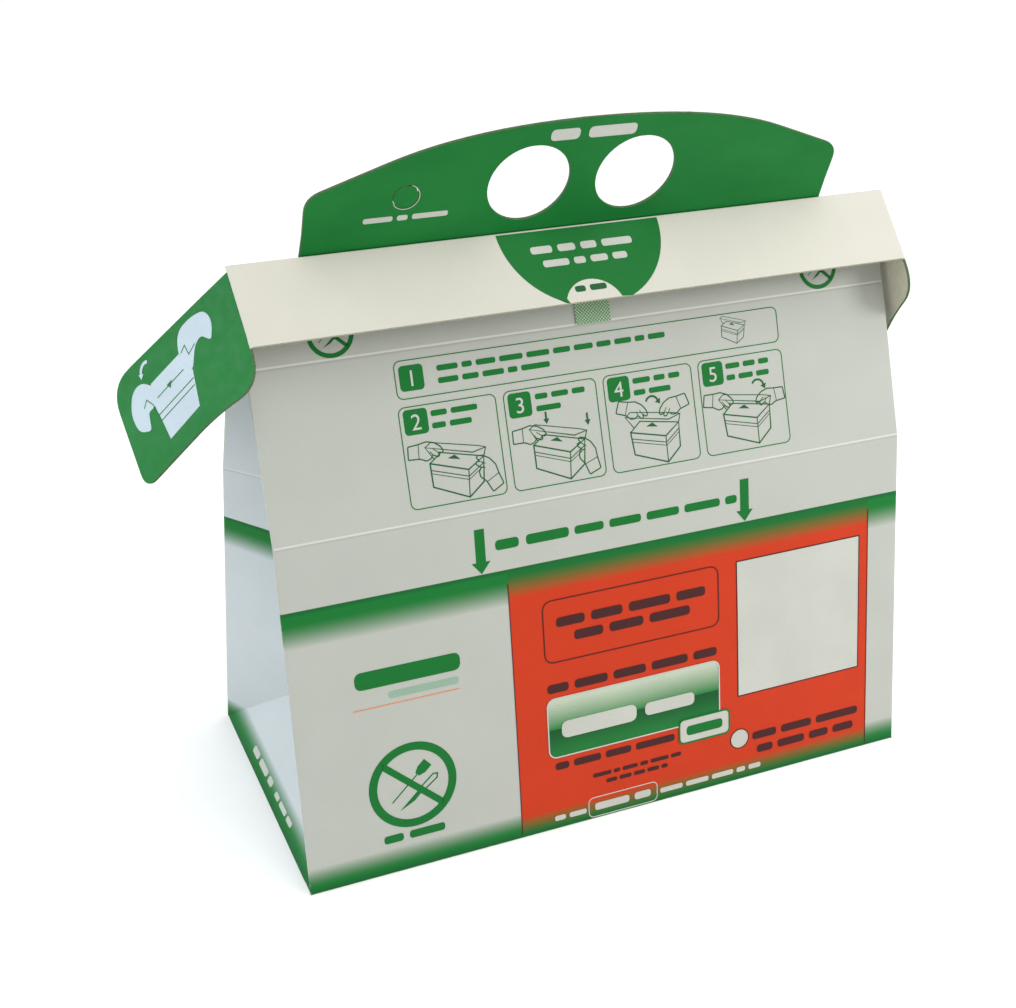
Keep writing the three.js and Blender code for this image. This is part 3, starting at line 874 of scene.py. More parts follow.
FLAP = Leaf((0, RIDGE_Y, RIDGE_Z), (1, 0, 0), FLAP_UP, FLAP_NORMAL, flap_curl)
HANDLE = Leaf(
    (0, HANDLE_Y, HANDLE_Z),
    (1, 0, 0),
    (0, -math.sin(BACK_LEAN), math.cos(BACK_LEAN)),
    (0, -math.cos(BACK_LEAN), -math.sin(BACK_LEAN)),
)


def flat_height(sheet, point):
    """How far up a sheet a point of the y-z plane lies."""
    return float(np.dot(np.array([0, *point]) - sheet.origin, sheet.up))


def fold_between(lower, upper):
    """The y and z where two sheets' middle planes meet."""
    return crossing_point(lower.origin[1:], lower.up[1:], upper.origin[1:], upper.up[1:])


FOOT = fold_between(FRONT_LOWER, BASE)
FOOT_V = flat_height(FRONT_LOWER, FOOT)
BASE_EDGE = abs(FOOT[0])
FRONT_SCORE = fold_between(FRONT_LOWER, FRONT_UPPER)
BACK_SCORE = fold_between(BACK_LOWER, BACK_UPPER)
EDGE_X = HALF_LENGTH - HALF_BOARD


def crease_points():
    """The gusset's middle crease: how far inward and how high its three points lie, with y = 0.

    The first is where 45-degree folds from the base corners meet. The others keep the crease's flat
    lengths and the web's flat width, as an inward-folding side does.
    """
    rise = HALF_DEPTH * (1 - math.sin(LOWER_LEAN)) / math.cos(LOWER_LEAN)
    points = [np.array([math.sqrt(HALF_DEPTH**2 - rise**2), rise])]
    top_y = SCORE_Y * (1 - STRIP_SCORE / RIDGE_REACH)
    top_z = SCORE_Z + (RIDGE_Z - SCORE_Z) * STRIP_SCORE / RIDGE_REACH
    for length, edge_y, edge_z in (
        (LOWER_HEIGHT - HALF_DEPTH, SCORE_Y, SCORE_Z),
        (STRIP_SCORE, top_y, top_z),
    ):
        start = points[-1]
        width = math.sqrt(HALF_DEPTH**2 - edge_y**2)
        to_edge = math.hypot(start[0], edge_z - start[1])
        along = (length**2 - width**2 + to_edge**2) / (2 * to_edge)
        across = math.sqrt(length**2 - along**2)
        way = np.array([-start[0], edge_z - start[1]]) / to_edge
        points.append(start + along * way + across * np.array([way[1], -way[0]]))
    return points


CREASE = crease_points()


def crease_at(side, index):
    inward, z = CREASE[index]
    return np.array([side * (HALF_LENGTH - inward - HALF_BOARD), 0, z])


# --- Materials of the carton ---

REVERSE_LOOK = reverse_side()
CORE_LOOK = cut_edge()


def sheet_looks(face):
    """The looks of a sheet's face, its reverse and its cut edges."""
    return [face, REVERSE_LOOK, CORE_LOOK]


FRONT_LOOKS = sheet_looks(printed_board("front_print", bands=True, red=True))
BAND_LOOKS = sheet_looks(printed_board("banded_print", bands=True))
# the webs and gussets take the side white, with its painted light
SIDE_PAINTED_LIGHT_LOOKS = sheet_looks(printed_board("side_print_painted_light", bands=True, colour=SIDE_WHITE_PAINTED_LIGHT))
PLAIN_LOOKS = sheet_looks(printed_board("plain_print"))
# the flap's board is painted lighter, as painted light from above
FLAP_PAINTED_LIGHT_LOOKS = sheet_looks(printed_board("flap_print", colour=CREAM_PAINTED_LIGHT))
GREEN_SIDE = solid_ink_board("green_flood", GREEN)
INKED_EDGE = cut_edge("inked_edge", INKED_CORE)
HANDLE_LOOKS = [GREEN_SIDE, GREEN_SIDE, INKED_EDGE]
TAB_LOOKS = [GREEN_SIDE, REVERSE_LOOK, INKED_EDGE]
GREEN_INK = ink("green_ink", GREEN)
LINE_INK = ink("line_ink", (0.012, 0.10, 0.028))
WHITE_INK = ink("white_ink", (0.50, 0.515, 0.47))
PALE_INK = ink("pale_ink", (0.27, 0.40, 0.31))
DARK_PRINT = ink("dark_ink", DARK_INK)
BLUISH_INK = ink("bluish_white_ink", (0.47, 0.56, 0.62))
ORANGE_INK = ink("orange_ink", (0.70, 0.22, 0.08))


# --- Panels ---

SCORED = 0.86   # a score's roll is a little slimmer than the board, which leaves a fine groove
ROLLED = 1.0
TUCKED = 0.96   # the webs' rolls lie just under the panels'
GUSSET_FOLD = 0.92
STEP = 8.0
WEB_GRID = (0, 1, 0.14, 0.02)
WEB_DENT = 0.3
FLAP_GRID = (-1, 1, 0.06, 0.01)


def panel(node, sheet, low, high, body, looks, bottom, top, sides=ROLLED):
    """A rectangular panel. bottom, top and sides are its folds' rolls, or 0 where it is cut."""
    x = EDGE_X
    edges = (
        ((-x, low), (x, low), bottom),
        ((-x, high), (x, high), top),
        ((-x, low), (-x, high), sides),
        ((x, low), (x, high), sides),
    )
    flat, faces = grid(ruled(-x, x, STEP), ruled(low, high, STEP))
    board(node, sheet, flat, faces, body, looks, folds=[edge for edge in edges if edge[2]])


def panels():
    front_score = flat_height(FRONT_LOWER, FRONT_SCORE)
    back_score = flat_height(BACK_LOWER, BACK_SCORE)
    panel("front_lower_panel", FRONT_LOWER, FOOT_V, front_score, "carton", FRONT_LOOKS, ROLLED, SCORED)
    low = flat_height(FRONT_UPPER, FRONT_SCORE)
    panel("front_upper_panel", FRONT_UPPER, low, STRIP_SCORE, "carton", PLAIN_LOOKS, SCORED, SCORED)
    panel("front_seal_strip", FRONT_STRIP, 0, STRIP_HEIGHT, "front_strip", PLAIN_LOOKS, SCORED, 0, sides=0)
    panel("back_lower_panel", BACK_LOWER, FOOT_V, back_score, "carton", BAND_LOOKS, ROLLED, SCORED)
    low = flat_height(BACK_UPPER, BACK_SCORE)
    ridge = flat_height(BACK_UPPER, (RIDGE_Y, RIDGE_Z))
    panel("back_upper_panel", BACK_UPPER, low, ridge, "back_panel", PLAIN_LOOKS, SCORED, TUCKED)
    panel("base_panel", BASE, -BASE_EDGE, BASE_EDGE, "carton", PLAIN_LOOKS, TUCKED, TUCKED, TUCKED)
    upper_flap()


def upper_flap():
    """The flap's ends follow the tabs' folds, which come closer together toward its front edge."""
    flat, faces = grid(ruled(*FLAP_GRID), ruled(0, FLAP_DEPTH, STEP))
    flat[:, 0] *= TAB_HINGE_X - flat[:, 1] * math.tan(TAB_SLANT)
    front = TAB_HINGE_X - FLAP_DEPTH * math.tan(TAB_SLANT)
    folds = [((-TAB_HINGE_X, 0), (TAB_HINGE_X, 0), ROLLED)]
    folds += [((side * TAB_HINGE_X, 0), (side * front, FLAP_DEPTH), ROLLED) for side in (-1, 1)]
    board("upper_flap", FLAP, flat, faces, "flap", FLAP_PAINTED_LIGHT_LOOKS, folds)


def triangular_web(name, corners, blank, inside, rolls):
    """A flat web with three corners, whose rolls are those of the folds from each corner to the next."""
    leaf, flat = triangle_leaf(corners, blank, inside)
    points, faces = outline_faces([counter_clockwise([tuple(place) for place in flat])], STEP)
    folds = [(flat[i], flat[(i + 1) % 3], roll) for i, roll in enumerate(rolls)]
    board(name, leaf, points, faces, "carton", SIDE_PAINTED_LIGHT_LOOKS, folds)
    return leaf


def corner_webs(side_name, half_name):
    """The three webs between a panel's side edge and the gusset's middle crease."""
    side = -1 if side_name == "left" else 1
    lower, upper, score = (BACK_LOWER, BACK_UPPER, BACK_SCORE)
    if half_name == "front":
        lower, upper, score = (FRONT_LOWER, FRONT_UPPER, FRONT_SCORE)
    x = side * EDGE_X
    inside = (0, 0, HALF_DEPTH)

    def edge(sheet, v):
        return sheet.origin + x * sheet.across + v * sheet.up

    corner = edge(lower, FOOT_V)
    level = edge(lower, HALF_DEPTH)
    score_edge = np.array([x, *score])
    top = edge(upper, STRIP_SCORE)
    start, middle, crease_top = (crease_at(side, i) for i in range(3))
    prefix = f"{side_name}_{half_name}"

    blank = [(0, 0), (0, HALF_DEPTH), (HALF_DEPTH, HALF_DEPTH)]
    triangular_web(f"{prefix}_corner_web", [corner, level, start], blank, inside, [TUCKED] * 3)
    for row, corners, low, high in (
        ("middle", (level, start, middle, score_edge), HALF_DEPTH, LOWER_HEIGHT),
        ("upper", (score_edge, middle, crease_top, top), LOWER_HEIGHT, LOWER_HEIGHT + STRIP_SCORE),
    ):
        web = Web(corners, [(0, low), (HALF_DEPTH, low), (HALF_DEPTH, high), (0, high)], inside, WEB_DENT)
        points, faces = grid(ruled(*WEB_GRID), ruled(*WEB_GRID))
        folds = [((0, 0), (1, 0), TUCKED), ((0, 0), (0, 1), TUCKED), ((1, 0), (1, 1), SCORED)]
        if row == "middle":
            folds.append(((0, 1), (1, 1), SCORED))
        moves = (half_name, row) == ("back", "upper")
        crossing = blend_line(crease_top, top) if moves else None
        name = f"{prefix}_{row}_web"
        board(name, web, points, faces, "carton", SIDE_PAINTED_LIGHT_LOOKS, folds, crossing=crossing)


def blend_line(crease_top, edge_top):
    """A line across the web along the back panel's normal, from the middle crease's level to just inside
    its top edge, with the carton and back panel bodies.
    """
    normal = BACK_UPPER.normal
    depth = float(np.dot(edge_top - crease_top, normal))
    start = edge_top - normal * depth
    return ("carton", "back_panel", tuple(start * MM), tuple((edge_top - normal * 0.4) * MM))


def bottom_gusset(side_name):
    """The triangle that rises from one end of the base to the middle crease."""
    side = -1 if side_name == "left" else 1
    x = side * EDGE_X
    corners = [(x, -BASE_EDGE, HALF_BOARD), (x, BASE_EDGE, HALF_BOARD), crease_at(side, 0)]
    blank = [(0, 0), (DEPTH, 0), (HALF_DEPTH, HALF_DEPTH)]
    rolls = (TUCKED, GUSSET_FOLD, GUSSET_FOLD)
    return triangular_web(f"{side_name}_bottom_gusset", corners, blank, (0, 0, LOWER_HEIGHT), rolls)


# --- Tabs and handle ---

TAB_REACH = 66.0
TAB_START = 1.6           # board kept clear of the ridge fold
TAB_FRONT = FLAP_DEPTH + 12.0
TAB_FLARE = 7.2           # the front edge runs this much further forward at the outer end
TAB_KNEE = 22.0           # from the fold to the bend in the front edge
TAB_BACK_SLOPE = 0.1
TAB_END_SLANT = 3.5
TAB_CURL = 0.9


def tab_sheet(side_name):
    """The sheet of a side tab: w runs away from its fold, and its outer end curls in a little."""
    side = -1 if side_name == "left" else 1
    fold = TAB_FOLD[side_name]
    up = TAB_UP[side_name]
    normal = np.array(FLAP_NORMAL)
    outward = side * np.cross(normal, up)
    across = outward * math.cos(fold) - normal * math.sin(fold)
    face = normal * math.cos(fold) + outward * math.sin(fold)
    origin = (side * TAB_HINGE_X, RIDGE_Y, RIDGE_Z)

    def curl(w, _):
        return -TAB_CURL * (np.clip(w, 0, TAB_REACH) / TAB_REACH) ** 2

    return Leaf(origin, across, up, face, curl)


def tab(side_name):
    """A side tab, which narrows toward the front and reaches past the flap's front edge."""
    sheet = tab_sheet(side_name)
    corners = [
        (0, TAB_START, 0.4),
        (TAB_REACH, TAB_START + TAB_BACK_SLOPE * TAB_REACH, 11),
        (TAB_REACH - TAB_END_SLANT, TAB_FRONT + TAB_FLARE, 6),
        (TAB_KNEE, TAB_FRONT, 10),
        (0, TAB_FRONT, 11),
    ]
    outline = counter_clockwise(rounded_outline(corners))
    points, faces = outline_faces([outline], 6.0)
    folds = [((0, TAB_START + 0.2), (0, FLAP_DEPTH), TUCKED)]
    body = f"tab_{side_name}"
    board(f"{side_name}_tab", sheet, points, faces, body, TAB_LOOKS, folds)
    return sheet


# The handle's shoulders and sides as shares of its half width and its height
SHOULDER_X, SHOULDER_V, SIDE_V = 0.727, 0.756, 0.515
CROWN = 0.62              # where the top curve's control point lies, as a share of the shoulder
HANDLE_CORNER = 5.0


def handle_outline():
    """The CAD handle's outline: straight sides, rounded corners, shoulders and a low crown."""
    low, high = box_mm("handle")
    middle, half = (low[0] + high[0]) / 2, (high[0] - low[0]) / 2
    top = (high[2] - HANDLE_Z - HALF_BOARD * math.sin(BACK_LEAN)) / math.cos(BACK_LEAN)
    shoulder_x, shoulder_v = SHOULDER_X * half, SHOULDER_V * top
    side_v = SIDE_V * top
    slope = (shoulder_v - side_v) / (half - shoulder_x)
    below = (half, side_v - HANDLE_CORNER)
    beyond = (half - HANDLE_CORNER, side_v + HANDLE_CORNER * slope)
    right = [(half, 0.0), *quadratic(below, (half, side_v), beyond, 6)]
    right += quadratic((shoulder_x, shoulder_v), (shoulder_x * CROWN, top), (0, top), 12)
    left = [(-x, v) for x, v in right[::-1]]
    return [(middle + x, v) for x, v in [left[-1], *right, *left[:-1]]]


FINGER_HOLES = [(-22.3, 19.5), (16.3, 19.5)]
FINGER_RADIUS = 14.4
TAG = (-64.4, 19.0)
TAG_RADIUS = 4.4
TAG_CUT = 0.16            # the width of the cut round the disc


def handle_and_ply():
    """The handle, the half-cut disc in it, and the backing board it folds on."""
    holes = [arc(x, v, FINGER_RADIUS, 0, -360, 48)[:-1] for x, v in FINGER_HOLES]
    holes.append(arc(*TAG, TAG_RADIUS, 0, -360, 32)[:-1])
    outline = handle_outline()
    points, faces = outline_faces([outline, *holes], STEP)
    left, right = outline[0][0], outline[1][0]
    folds = [((left, 0), (right, 0), TUCKED)]
    board("handle", HANDLE, points, faces, "handle_board", HANDLE_LOOKS, folds)

    disc = arc(*TAG, TAG_RADIUS - TAG_CUT, 0, 360, 32)[:-1]
    points, faces = outline_faces([disc], STEP)
    board("tag_hole_flap", HANDLE, points, faces, "tag_flap", HANDLE_LOOKS)

    low = box_mm("handle_backing_ply")[0][2]
    bottom = (low - HANDLE_Z) / math.cos(BACK_LEAN) + HALF_BOARD
    points, faces = outline_faces([[(left, bottom), (right, bottom), (right, 0), (left, 0)]], STEP)
    folds = [((left, 0), (right, 0), ROLLED)]
    name = "handle_backing_ply"
    board(name, HANDLE, points, faces, "back_panel", HANDLE_LOOKS, folds)


# --- Inside pieces ---


def between(node, sheet, body, looks, thickness):
    """A small flat piece inside or outside a panel, where the CAD has it."""
    vertices = frame["nodes"][node].data.vertices
    places = np.array([vertex.co for vertex in vertices]) / MM - sheet.origin
    x, v, lift = places @ sheet.across, places @ sheet.up, places @ sheet.normal
    origin = sheet.origin + sheet.normal * (lift.min() + lift.max()) / 2
    offset = Leaf(origin, sheet.across, sheet.up, sheet.normal, blank=sheet.blank)
    flat, faces = grid(ruled(x.min(), x.max(), STEP), ruled(v.min(), v.max(), STEP / 2))
    board(node, offset, flat, faces, body, looks, thickness=thickness)


def adhesive_look():
    look = Look("adhesive_film", roughness=0.2, specular=0.5)
    vector = look.flat()[0]
    streaks = look.ramp(look.noise(vector, 3.0, 3.0), 0.3, 0.7)
    colour = look.mix(streaks, (0.70, 0.62, 0.36), (0.78, 0.71, 0.47))
    return look.finish(colour, 0.22, look.bump(look.noise(vector, 1.2, 2.0), 0.05))


def liner_look():
    look = Look("liner_paper", roughness=0.4, specular=0.4)
    vector = look.flat()[0]
    colour = mottled(look, (0.84, 0.80, 0.68), vector, 0.08)
    return look.finish(colour, 0.38, paper_bump(look, vector, 0.02))


def hatched_look():
    """The seal pad: fine crossed green lines on a pale ground."""
    look = Look("hatched_pad", roughness=0.7, specular=0.2)
    vector, x, v = look.flat()

    def stripes(across):
        return look.math("ABSOLUTE", look.math("SINE", look.times(across, 2.6)))

    rising, falling = stripes(look.math("ADD", x, v)), stripes(look.math("SUBTRACT", x, v))
    mesh = look.ramp(look.math("MINIMUM", rising, falling), 0.25, 0.55, 1.0, 0.0)
    colour = look.mix(mesh, (0.50, 0.62, 0.44), (0.05, 0.25, 0.08))
    return look.finish(mottled(look, colour, vector, 0.1), 0.7, look.bump(mesh, 0.12))


FILM = 0.3                # thickness of the tape, the release paper and the seal pad


def small_pieces():
    seam = [REVERSE_LOOK, REVERSE_LOOK, CORE_LOOK]
    between("glue_seam_lower", BACK_LOWER, "carton", seam, BOARD)
    between("glue_seam_upper", BACK_UPPER, "back_panel", seam, BOARD)
    for node, look, slot in (
        ("adhesive_strip", adhesive_look(), "adhesive"),
        ("release_paper", liner_look(), "release_paper"),
        ("temporary_seal_pad", hatched_look(), "seal_pad"),
    ):
        between(node, FRONT_STRIP, "front_strip", [look] * 3, FILM)


def mat_look():
    """Loose white fibres, a little cloudy."""
    look = Look("mat_fleece", roughness=0.95, specular=0.1)
    vector = look.object_mm()
    fibres = look.noise(vector, 0.5, 4.0, (1, 0.5, 1), 0.7)
    cloud = look.ramp(look.noise(vector, 7.0, 3.0), 0.3, 0.7)
    colour = look.mix(cloud, (0.80, 0.82, 0.78), (0.68, 0.72, 0.69))
    colour = look.mix(look.ramp(fibres, 0.35, 0.7), colour, (0.88, 0.90, 0.87))
    look.shader.inputs["Sheen Weight"].default_value = 0.25
    return look.finish(colour, 0.95, look.bump(fibres, 0.35, look.bump(look.noise(vector, 3.0, 2.0), 0.4)))


MAT_CORNER = 8.0
MAT_CRIMP = 5.0           # the width of its thin edge
DIMPLE_PITCH = 9.0


def mat_plan(flat, half):
    """The mat's flat places, with its square corners pulled in to round ones."""
    core = half - MAT_CORNER
    beyond = np.clip(np.abs(flat) - core, 0, None)
    pull = beyond.max(axis=1) / np.maximum(np.hypot(*beyond.T), 1e-6)
    return np.sign(flat) * (np.minimum(np.abs(flat), core) + beyond * pull[:, None])


def absorbent_mat():
    """A soft pad bonded in a diamond pattern of small dimples, with a crimped edge."""
    low, high = box_mm("absorbent_mat")
    half, thick = high[:2], high[2] - low[2]
    flat, faces = grid(np.linspace(-half[0], half[0], 124), np.linspace(-half[1], half[1], 56))
    crown = np.clip((half - np.abs(flat)).min(axis=1) / MAT_CRIMP, 0, 1) ** 0.5
    rising, falling = (flat[:, 0] + side * flat[:, 1] for side in (1, -1))
    dimples = np.cos(math.pi * rising / DIMPLE_PITCH) * np.cos(math.pi * falling / DIMPLE_PITCH)
    top = low[2] + 0.5 + (thick - 0.6) * crown * (1 - 0.3 * np.abs(dimples) ** 6)
    plan = mat_plan(flat, half)
    count = len(flat)
    vertices = [*np.column_stack([plan, top]), *np.column_stack([plan, np.full(count, low[2])])]
    made = [list(face) for face in faces] + [[i + count for i in face[::-1]] for face in faces]
    made += [[a, a + count, b + count, b] for a, b in boundary_edges(faces)]
    edge_wear_and_highlight, kinds = [0.0] * len(vertices), [0] * len(made)
    piece = make_object("absorbent_mat_pad", vertices, made, [*flat, *flat], edge_wear_and_highlight, [mat_look()], kinds)
    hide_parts("absorbent_mat")
    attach(piece, "carton")


# --- Print ---


def prohibition(art, x, v, radius, width):
    """A ring with a slanting bar across it."""
    middle = radius - width / 2
    slant = math.radians(42)
    reach, rise = middle * math.cos(slant), middle * math.sin(slant)
    art.move(x, v)
    art.ring(0, 0, middle, width)
    art.line([(-reach, rise), (reach, -rise)], width * 0.8)
    return art.move()


def needle_and_blade(art, x, v, scale=1.0):
    """Two plain implements: a capped needle and a small blade, drawn in outline and solid."""
    art.move(x, v, scale, 42)
    art.line([(-10, 1.2), (3.2, 1.2)], 0.45)
    art.fill([(3, 0.3), (5.2, -0.7), (8.6, -0.7), (8.6, 3.1), (5.2, 3.1), (3, 2.1)])
    art.move(x + 1.2 * scale, v - 3.6 * scale, scale, 38)
    art.fill([(-9, -0.4), (-3, -1.7), (0.5, -1.4), (0.5, 0.2)])
    art.line([(0.5, -1.5), (8, -1.7), (9.2, -0.6), (8, 0.5), (0.5, 0.3)], 0.5, closed=True)
    return art.move()


def front_lower_print():
    """Print of the lower front panel."""
    green, pale, orange, dark, white = (Art() for _ in range(5))
    for x in (-49.8, 53.2):
        green.arrow(x, 119.3, FILL_LINE + 0.2, 3.6, 6.8, 4.2)
    green.words(-44.3, -16.8, 112.5, 3.6, seed=3)
    green.words(-14.6, 50.0, 112.5, 3.0, seed=5)
    prohibition(green, -80.3, 32.2, 16.0, 3.0)
    needle_and_blade(green, -80.0, 32.8)
    green.words(-92.3, -69.8, 13.4, 3.0, seed=8)
    green.bar(-97.7, -60.0, 74.2, 6.4)
    pale.bar(-86.3, -61.0, 67.3, 2.6)
    orange.line([(-99, 64.0), (-61, 64.0)], 0.35)

    dark.line(rounded_box(-28.5, 65.5, 41.5, 88.7, 3.3), 0.4, closed=True)
    captions = (
        (-23.5, 36.0, 80.2, 3.5), (-16.8, 29.5, 74.2, 3.5), (-28.2, 40.3, 55.6, 3.3),
        (-26.5, 22.0, 25.0, 2.7), (-11.8, 24.5, 17.6, 1.5), (-6.5, 18.8, 14.3, 1.5),
        (55.5, 103.0, 16.9, 3.1), (57.5, 101.0, 11.0, 3.1),
    )
    dark.paragraph(captions, seed=11)
    dark.line([(49.3, 35.0), (102.9, 35.0), (102.9, 88.5), (49.3, 88.5)], 0.4, closed=True)
    for x in (RED_LEFT, RED_RIGHT):
        dark.line([(x, 1.5), (x, FILL_LINE - 5)], 0.3)
    dark.ring(49.8, 17.3, 3.9, 0.35)
    white.fill([(49.5, 35.2), (102.7, 35.2), (102.7, 88.3), (49.5, 88.3)])
    white.disc(49.8, 17.3, 3.7)
    white.line(rounded_box(-14.0, 0.9, 14.2, 8.7, 2.0), 0.35, closed=True)
    foot_line = ((-27.7, -15.0, 4.3, 2.0), (-11.5, 11.5, 4.8, 2.9), (15.5, 59.0, 4.3, 2.0))
    white.paragraph(foot_line, seed=21)
    print_on(FRONT_LOWER, green, "front_green_print", "carton", GREEN_INK)
    print_on(FRONT_LOWER, pale, "front_pale_print", "carton", PALE_INK)
    print_on(FRONT_LOWER, orange, "front_orange_print", "carton", ORANGE_INK)
    print_on(FRONT_LOWER, dark, "front_dark_print", "carton", DARK_PRINT, level=2)
    print_on(FRONT_LOWER, white, "front_white_print", "carton", WHITE_INK)
    plaque_print()


def plaque_print():
    """The green plaque with two plain bars, and the small box that overlaps its corner."""
    left, bottom, right, top = -28.7, 28.7, 41.2, 51.7
    middle = bottom + 0.48 * (top - bottom)
    outline = rounded_box(left, bottom, right, top, 3.0)
    look = plaque_ink(bottom, middle, top)
    print_on(FRONT_LOWER, Art().fill(outline), "plaque_print", "carton", look)
    label_outline = rounded_box(24.0, 21.3, 45.3, 31.0, 2.0)
    white = Art().line(outline, 0.5, closed=True)
    white.bar(-23.5, 6.5, 39.0, 6.6)
    white.bar(10.0, 30.5, 39.0, 5.0)
    white.fill(label_outline)
    print_on(FRONT_LOWER, white, "plaque_white_print", "carton", WHITE_INK, level=3)
    label = Art().line(label_outline, 0.7, closed=True)
    label.bar(27.0, 42.3, 26.1, 3.8)
    print_on(FRONT_LOWER, label, "plaque_label_print", "carton", GREEN_INK, level=4)


def little_carton(art, x, v, scale, turn=0.0, lid=True):
    """A small line drawing of a carton seen from above its corner, perhaps with its lid standing open."""
    art.move(x, v, scale, turn)
    art.line([(-8, 3.4), (-7.4, -3.6), (3.8, -7.6), (8.6, -3.4), (9, 4.2), (4, 0.6)], 0.42, closed=True)
    art.line([(-7.8, 1.4), (4, -1.4), (9, 2.4)], 0.26)
    art.line([(-7.7, 0.4), (4, -2.4), (9, 1.4)], 0.2)
    art.line([(4, 0.6), (3.8, -7.6)], 0.3)
    art.line([(-8, 3.4), (-4.4, 6.4), (9, 4.2)], 0.34)
    if lid:
        art.line([(-6.6, 4.6), (-9.2, 8.2), (5.6, 5.6), (9.8, 6.8), (9, 4.2)], 0.34)
        art.line([(-9.2, 8.2), (-7.4, 9.6), (7.6, 7.4), (9.8, 6.8)], 0.26)
        art.fill([(-2.4, 4.5), (1.6, 3.9), (-0.2, 5.4)])
    return art.move()


def mitten(art, x, v, scale, turn, flip=1):
    """A plain hand and cuff in outline, with three strokes between its fingers."""
    art.move(x, v, scale, turn)
    outline = [
        (-7.5, -2.6), (-7.8, 2.4), (-3.4, 3.4), (-0.4, 4.4), (2.8, 4.0), (5.4, 2.6), (6.6, 1.0), (6.2, 0.1),
        (4.4, 0.4), (5.2, -0.8), (4.4, -1.5), (2.4, -0.6), (1.6, -2.2), (-0.2, -3.0), (-2.8, -2.2),
    ]
    smooth = rounded_outline([(px * flip, pv, 0.45) for px, pv in outline], 3)
    art.line(smooth, 0.4 / scale, closed=True)
    for start, stop in (((2.4, 1.6), (4.4, 0.4)), ((1.2, 0.6), (2.4, -0.6)), ((-3.6, 3.2), (-3.2, -2.2))):
        art.line([(start[0] * flip, start[1]), (stop[0] * flip, stop[1])], 0.24 / scale)
    return art.move()


def bent_arrow(art, x, v, radius, start, stop, width=0.7):
    """An arrow along an arc, whose head is at the arc's end."""
    path = arc(x, v, radius, start, stop, 8)
    art.line(path, width)
    tip, before = np.array(path[-1]), np.array(path[-2])
    way = unit(tip - before)
    side = np.array([-way[1], way[0]])
    art.fill([tuple(tip + way * 1.7), tuple(tip + side * 1.2), tuple(tip - side * 1.2)])
    return art


def step_box(green, white, number, left, right, bottom, top, text):
    """A numbered instruction box with its badge and two lines of plain bars."""
    green.line(rounded_box(left, bottom, right, top, 2.2), 0.34, closed=True)
    badge = 8.4
    badge_left = left + 1.4
    badge_top = top - (0.9 if number > 1 else 1.7)
    green.fill(rounded_box(badge_left, badge_top - badge, badge_left + badge, badge_top, 1.4))
    white.numeral(number, badge_left + badge / 2, badge_top - badge / 2, 5.4)
    for line, (start, stop) in enumerate(text):
        v = badge_top - 2.3 - line * 4.1
        green.words(left + start, left + stop, v, 1.9, seed=30 + 7 * number + line)


def front_upper_print():
    """Print of the upper front panel: five numbered steps with plain line drawings."""
    green, white = Art(), Art()
    step_box(green, white, 1, -71.8, 73.2, 41.2, 53.7, ((14.6, 99.5), (14.6, 55)))
    texts = (
        ((11, 27.5), (11, 25)),
        ((11.4, 30), (11.4, 20.5)),
        ((11.2, 29.6), (11.2, 25.6)),
        ((11, 28.6), (11, 28.4)),
    )
    for index, text in enumerate(texts):
        left = -72.3 + 37.2 * index
        step_box(green, white, index + 2, left, left + 34.3, 4.8, 38.5, text)
    print_on(FRONT_UPPER, green, "steps_green_print", "carton", GREEN_INK)
    print_on(FRONT_UPPER, white, "steps_white_print", "carton", WHITE_INK, level=2)

    lines = Art()
    little_carton(lines, 54.5, 47.2, 0.55, -8)
    for centre, height, turn in ((-55.2, 14.6, -4), (-17.8, 14.6, -5), (19.2, 14.0, 0), (56.4, 14.8, 0)):
        little_carton(lines, centre, height, 1.12, turn)
    for left_hand, right_hand in (
        ((-64.4, 22.6, 0.86, -8), (-44.6, 13.4, 0.92, -58)),
        ((-27.0, 22.2, 0.86, -6), (-7.6, 13.4, 0.92, -66)),
        ((12.2, 24.6, 0.84, -24), (27.6, 24.0, 0.84, 22)),
        ((46.4, 22.8, 0.84, -14), (66.6, 21.6, 0.84, 12)),
    ):
        mitten(lines, *left_hand)
        mitten(lines, *right_hand, flip=-1)
    for x, top in ((-20.6, 29.8), (-5.4, 27.2)):
        lines.arrow(x, top, top - 4.2, 0.7, 2.2, 1.8)
    bent_arrow(lines, 19.8, 26.8, 2.4, 160, 20)
    bent_arrow(lines, 62.5, 26.6, 2.4, 150, 10)
    print_on(FRONT_UPPER, lines, "steps_line_print", "carton", LINE_INK)

    rings = Art()
    for x in (-91.3, 92.3):
        prohibition(rings, x, 8.6, 7.9, 1.5)
        needle_and_blade(rings, x, 8.9, 0.5)
    print_on(FRONT_STRIP, rings, "strip_print", "front_strip", GREEN_INK)


def flap_print():
    """Print of the upper flap: a green half disc, cut by a smaller pale one at the front edge."""
    disc_x, radius = -1.4, 30.0
    spot_x, spot_v, spot_radius = -4.0, FLAP_DEPTH + 2.6, 10.6
    edge_v = FLAP_DEPTH - 0.25
    reach = math.degrees(math.asin(edge_v / radius))
    outline = arc(disc_x, 0.3, radius, 0, reach, 16)
    half = math.degrees(math.asin((spot_v - edge_v) / spot_radius))
    outline += arc(spot_x, spot_v, spot_radius, -half, -180 + half, 16)
    outline += arc(disc_x, 0.3, radius, 180 - reach, 180, 16)
    print_on(FLAP, Art().fill(outline), "flap_green_print", "flap", GREEN_INK)
    white = Art().paragraph(((-21.0, 16.5, 7.4, 2.7), (-18.0, 13.0, 12.7, 2.5)), seed=41)
    print_on(FLAP, white, "flap_white_print", "flap", WHITE_INK, 2)
    caption = Art().words(-9.7, 1.8, 23.2, 2.2, seed=43)
    print_on(FLAP, caption, "flap_caption_print", "flap", LINE_INK)


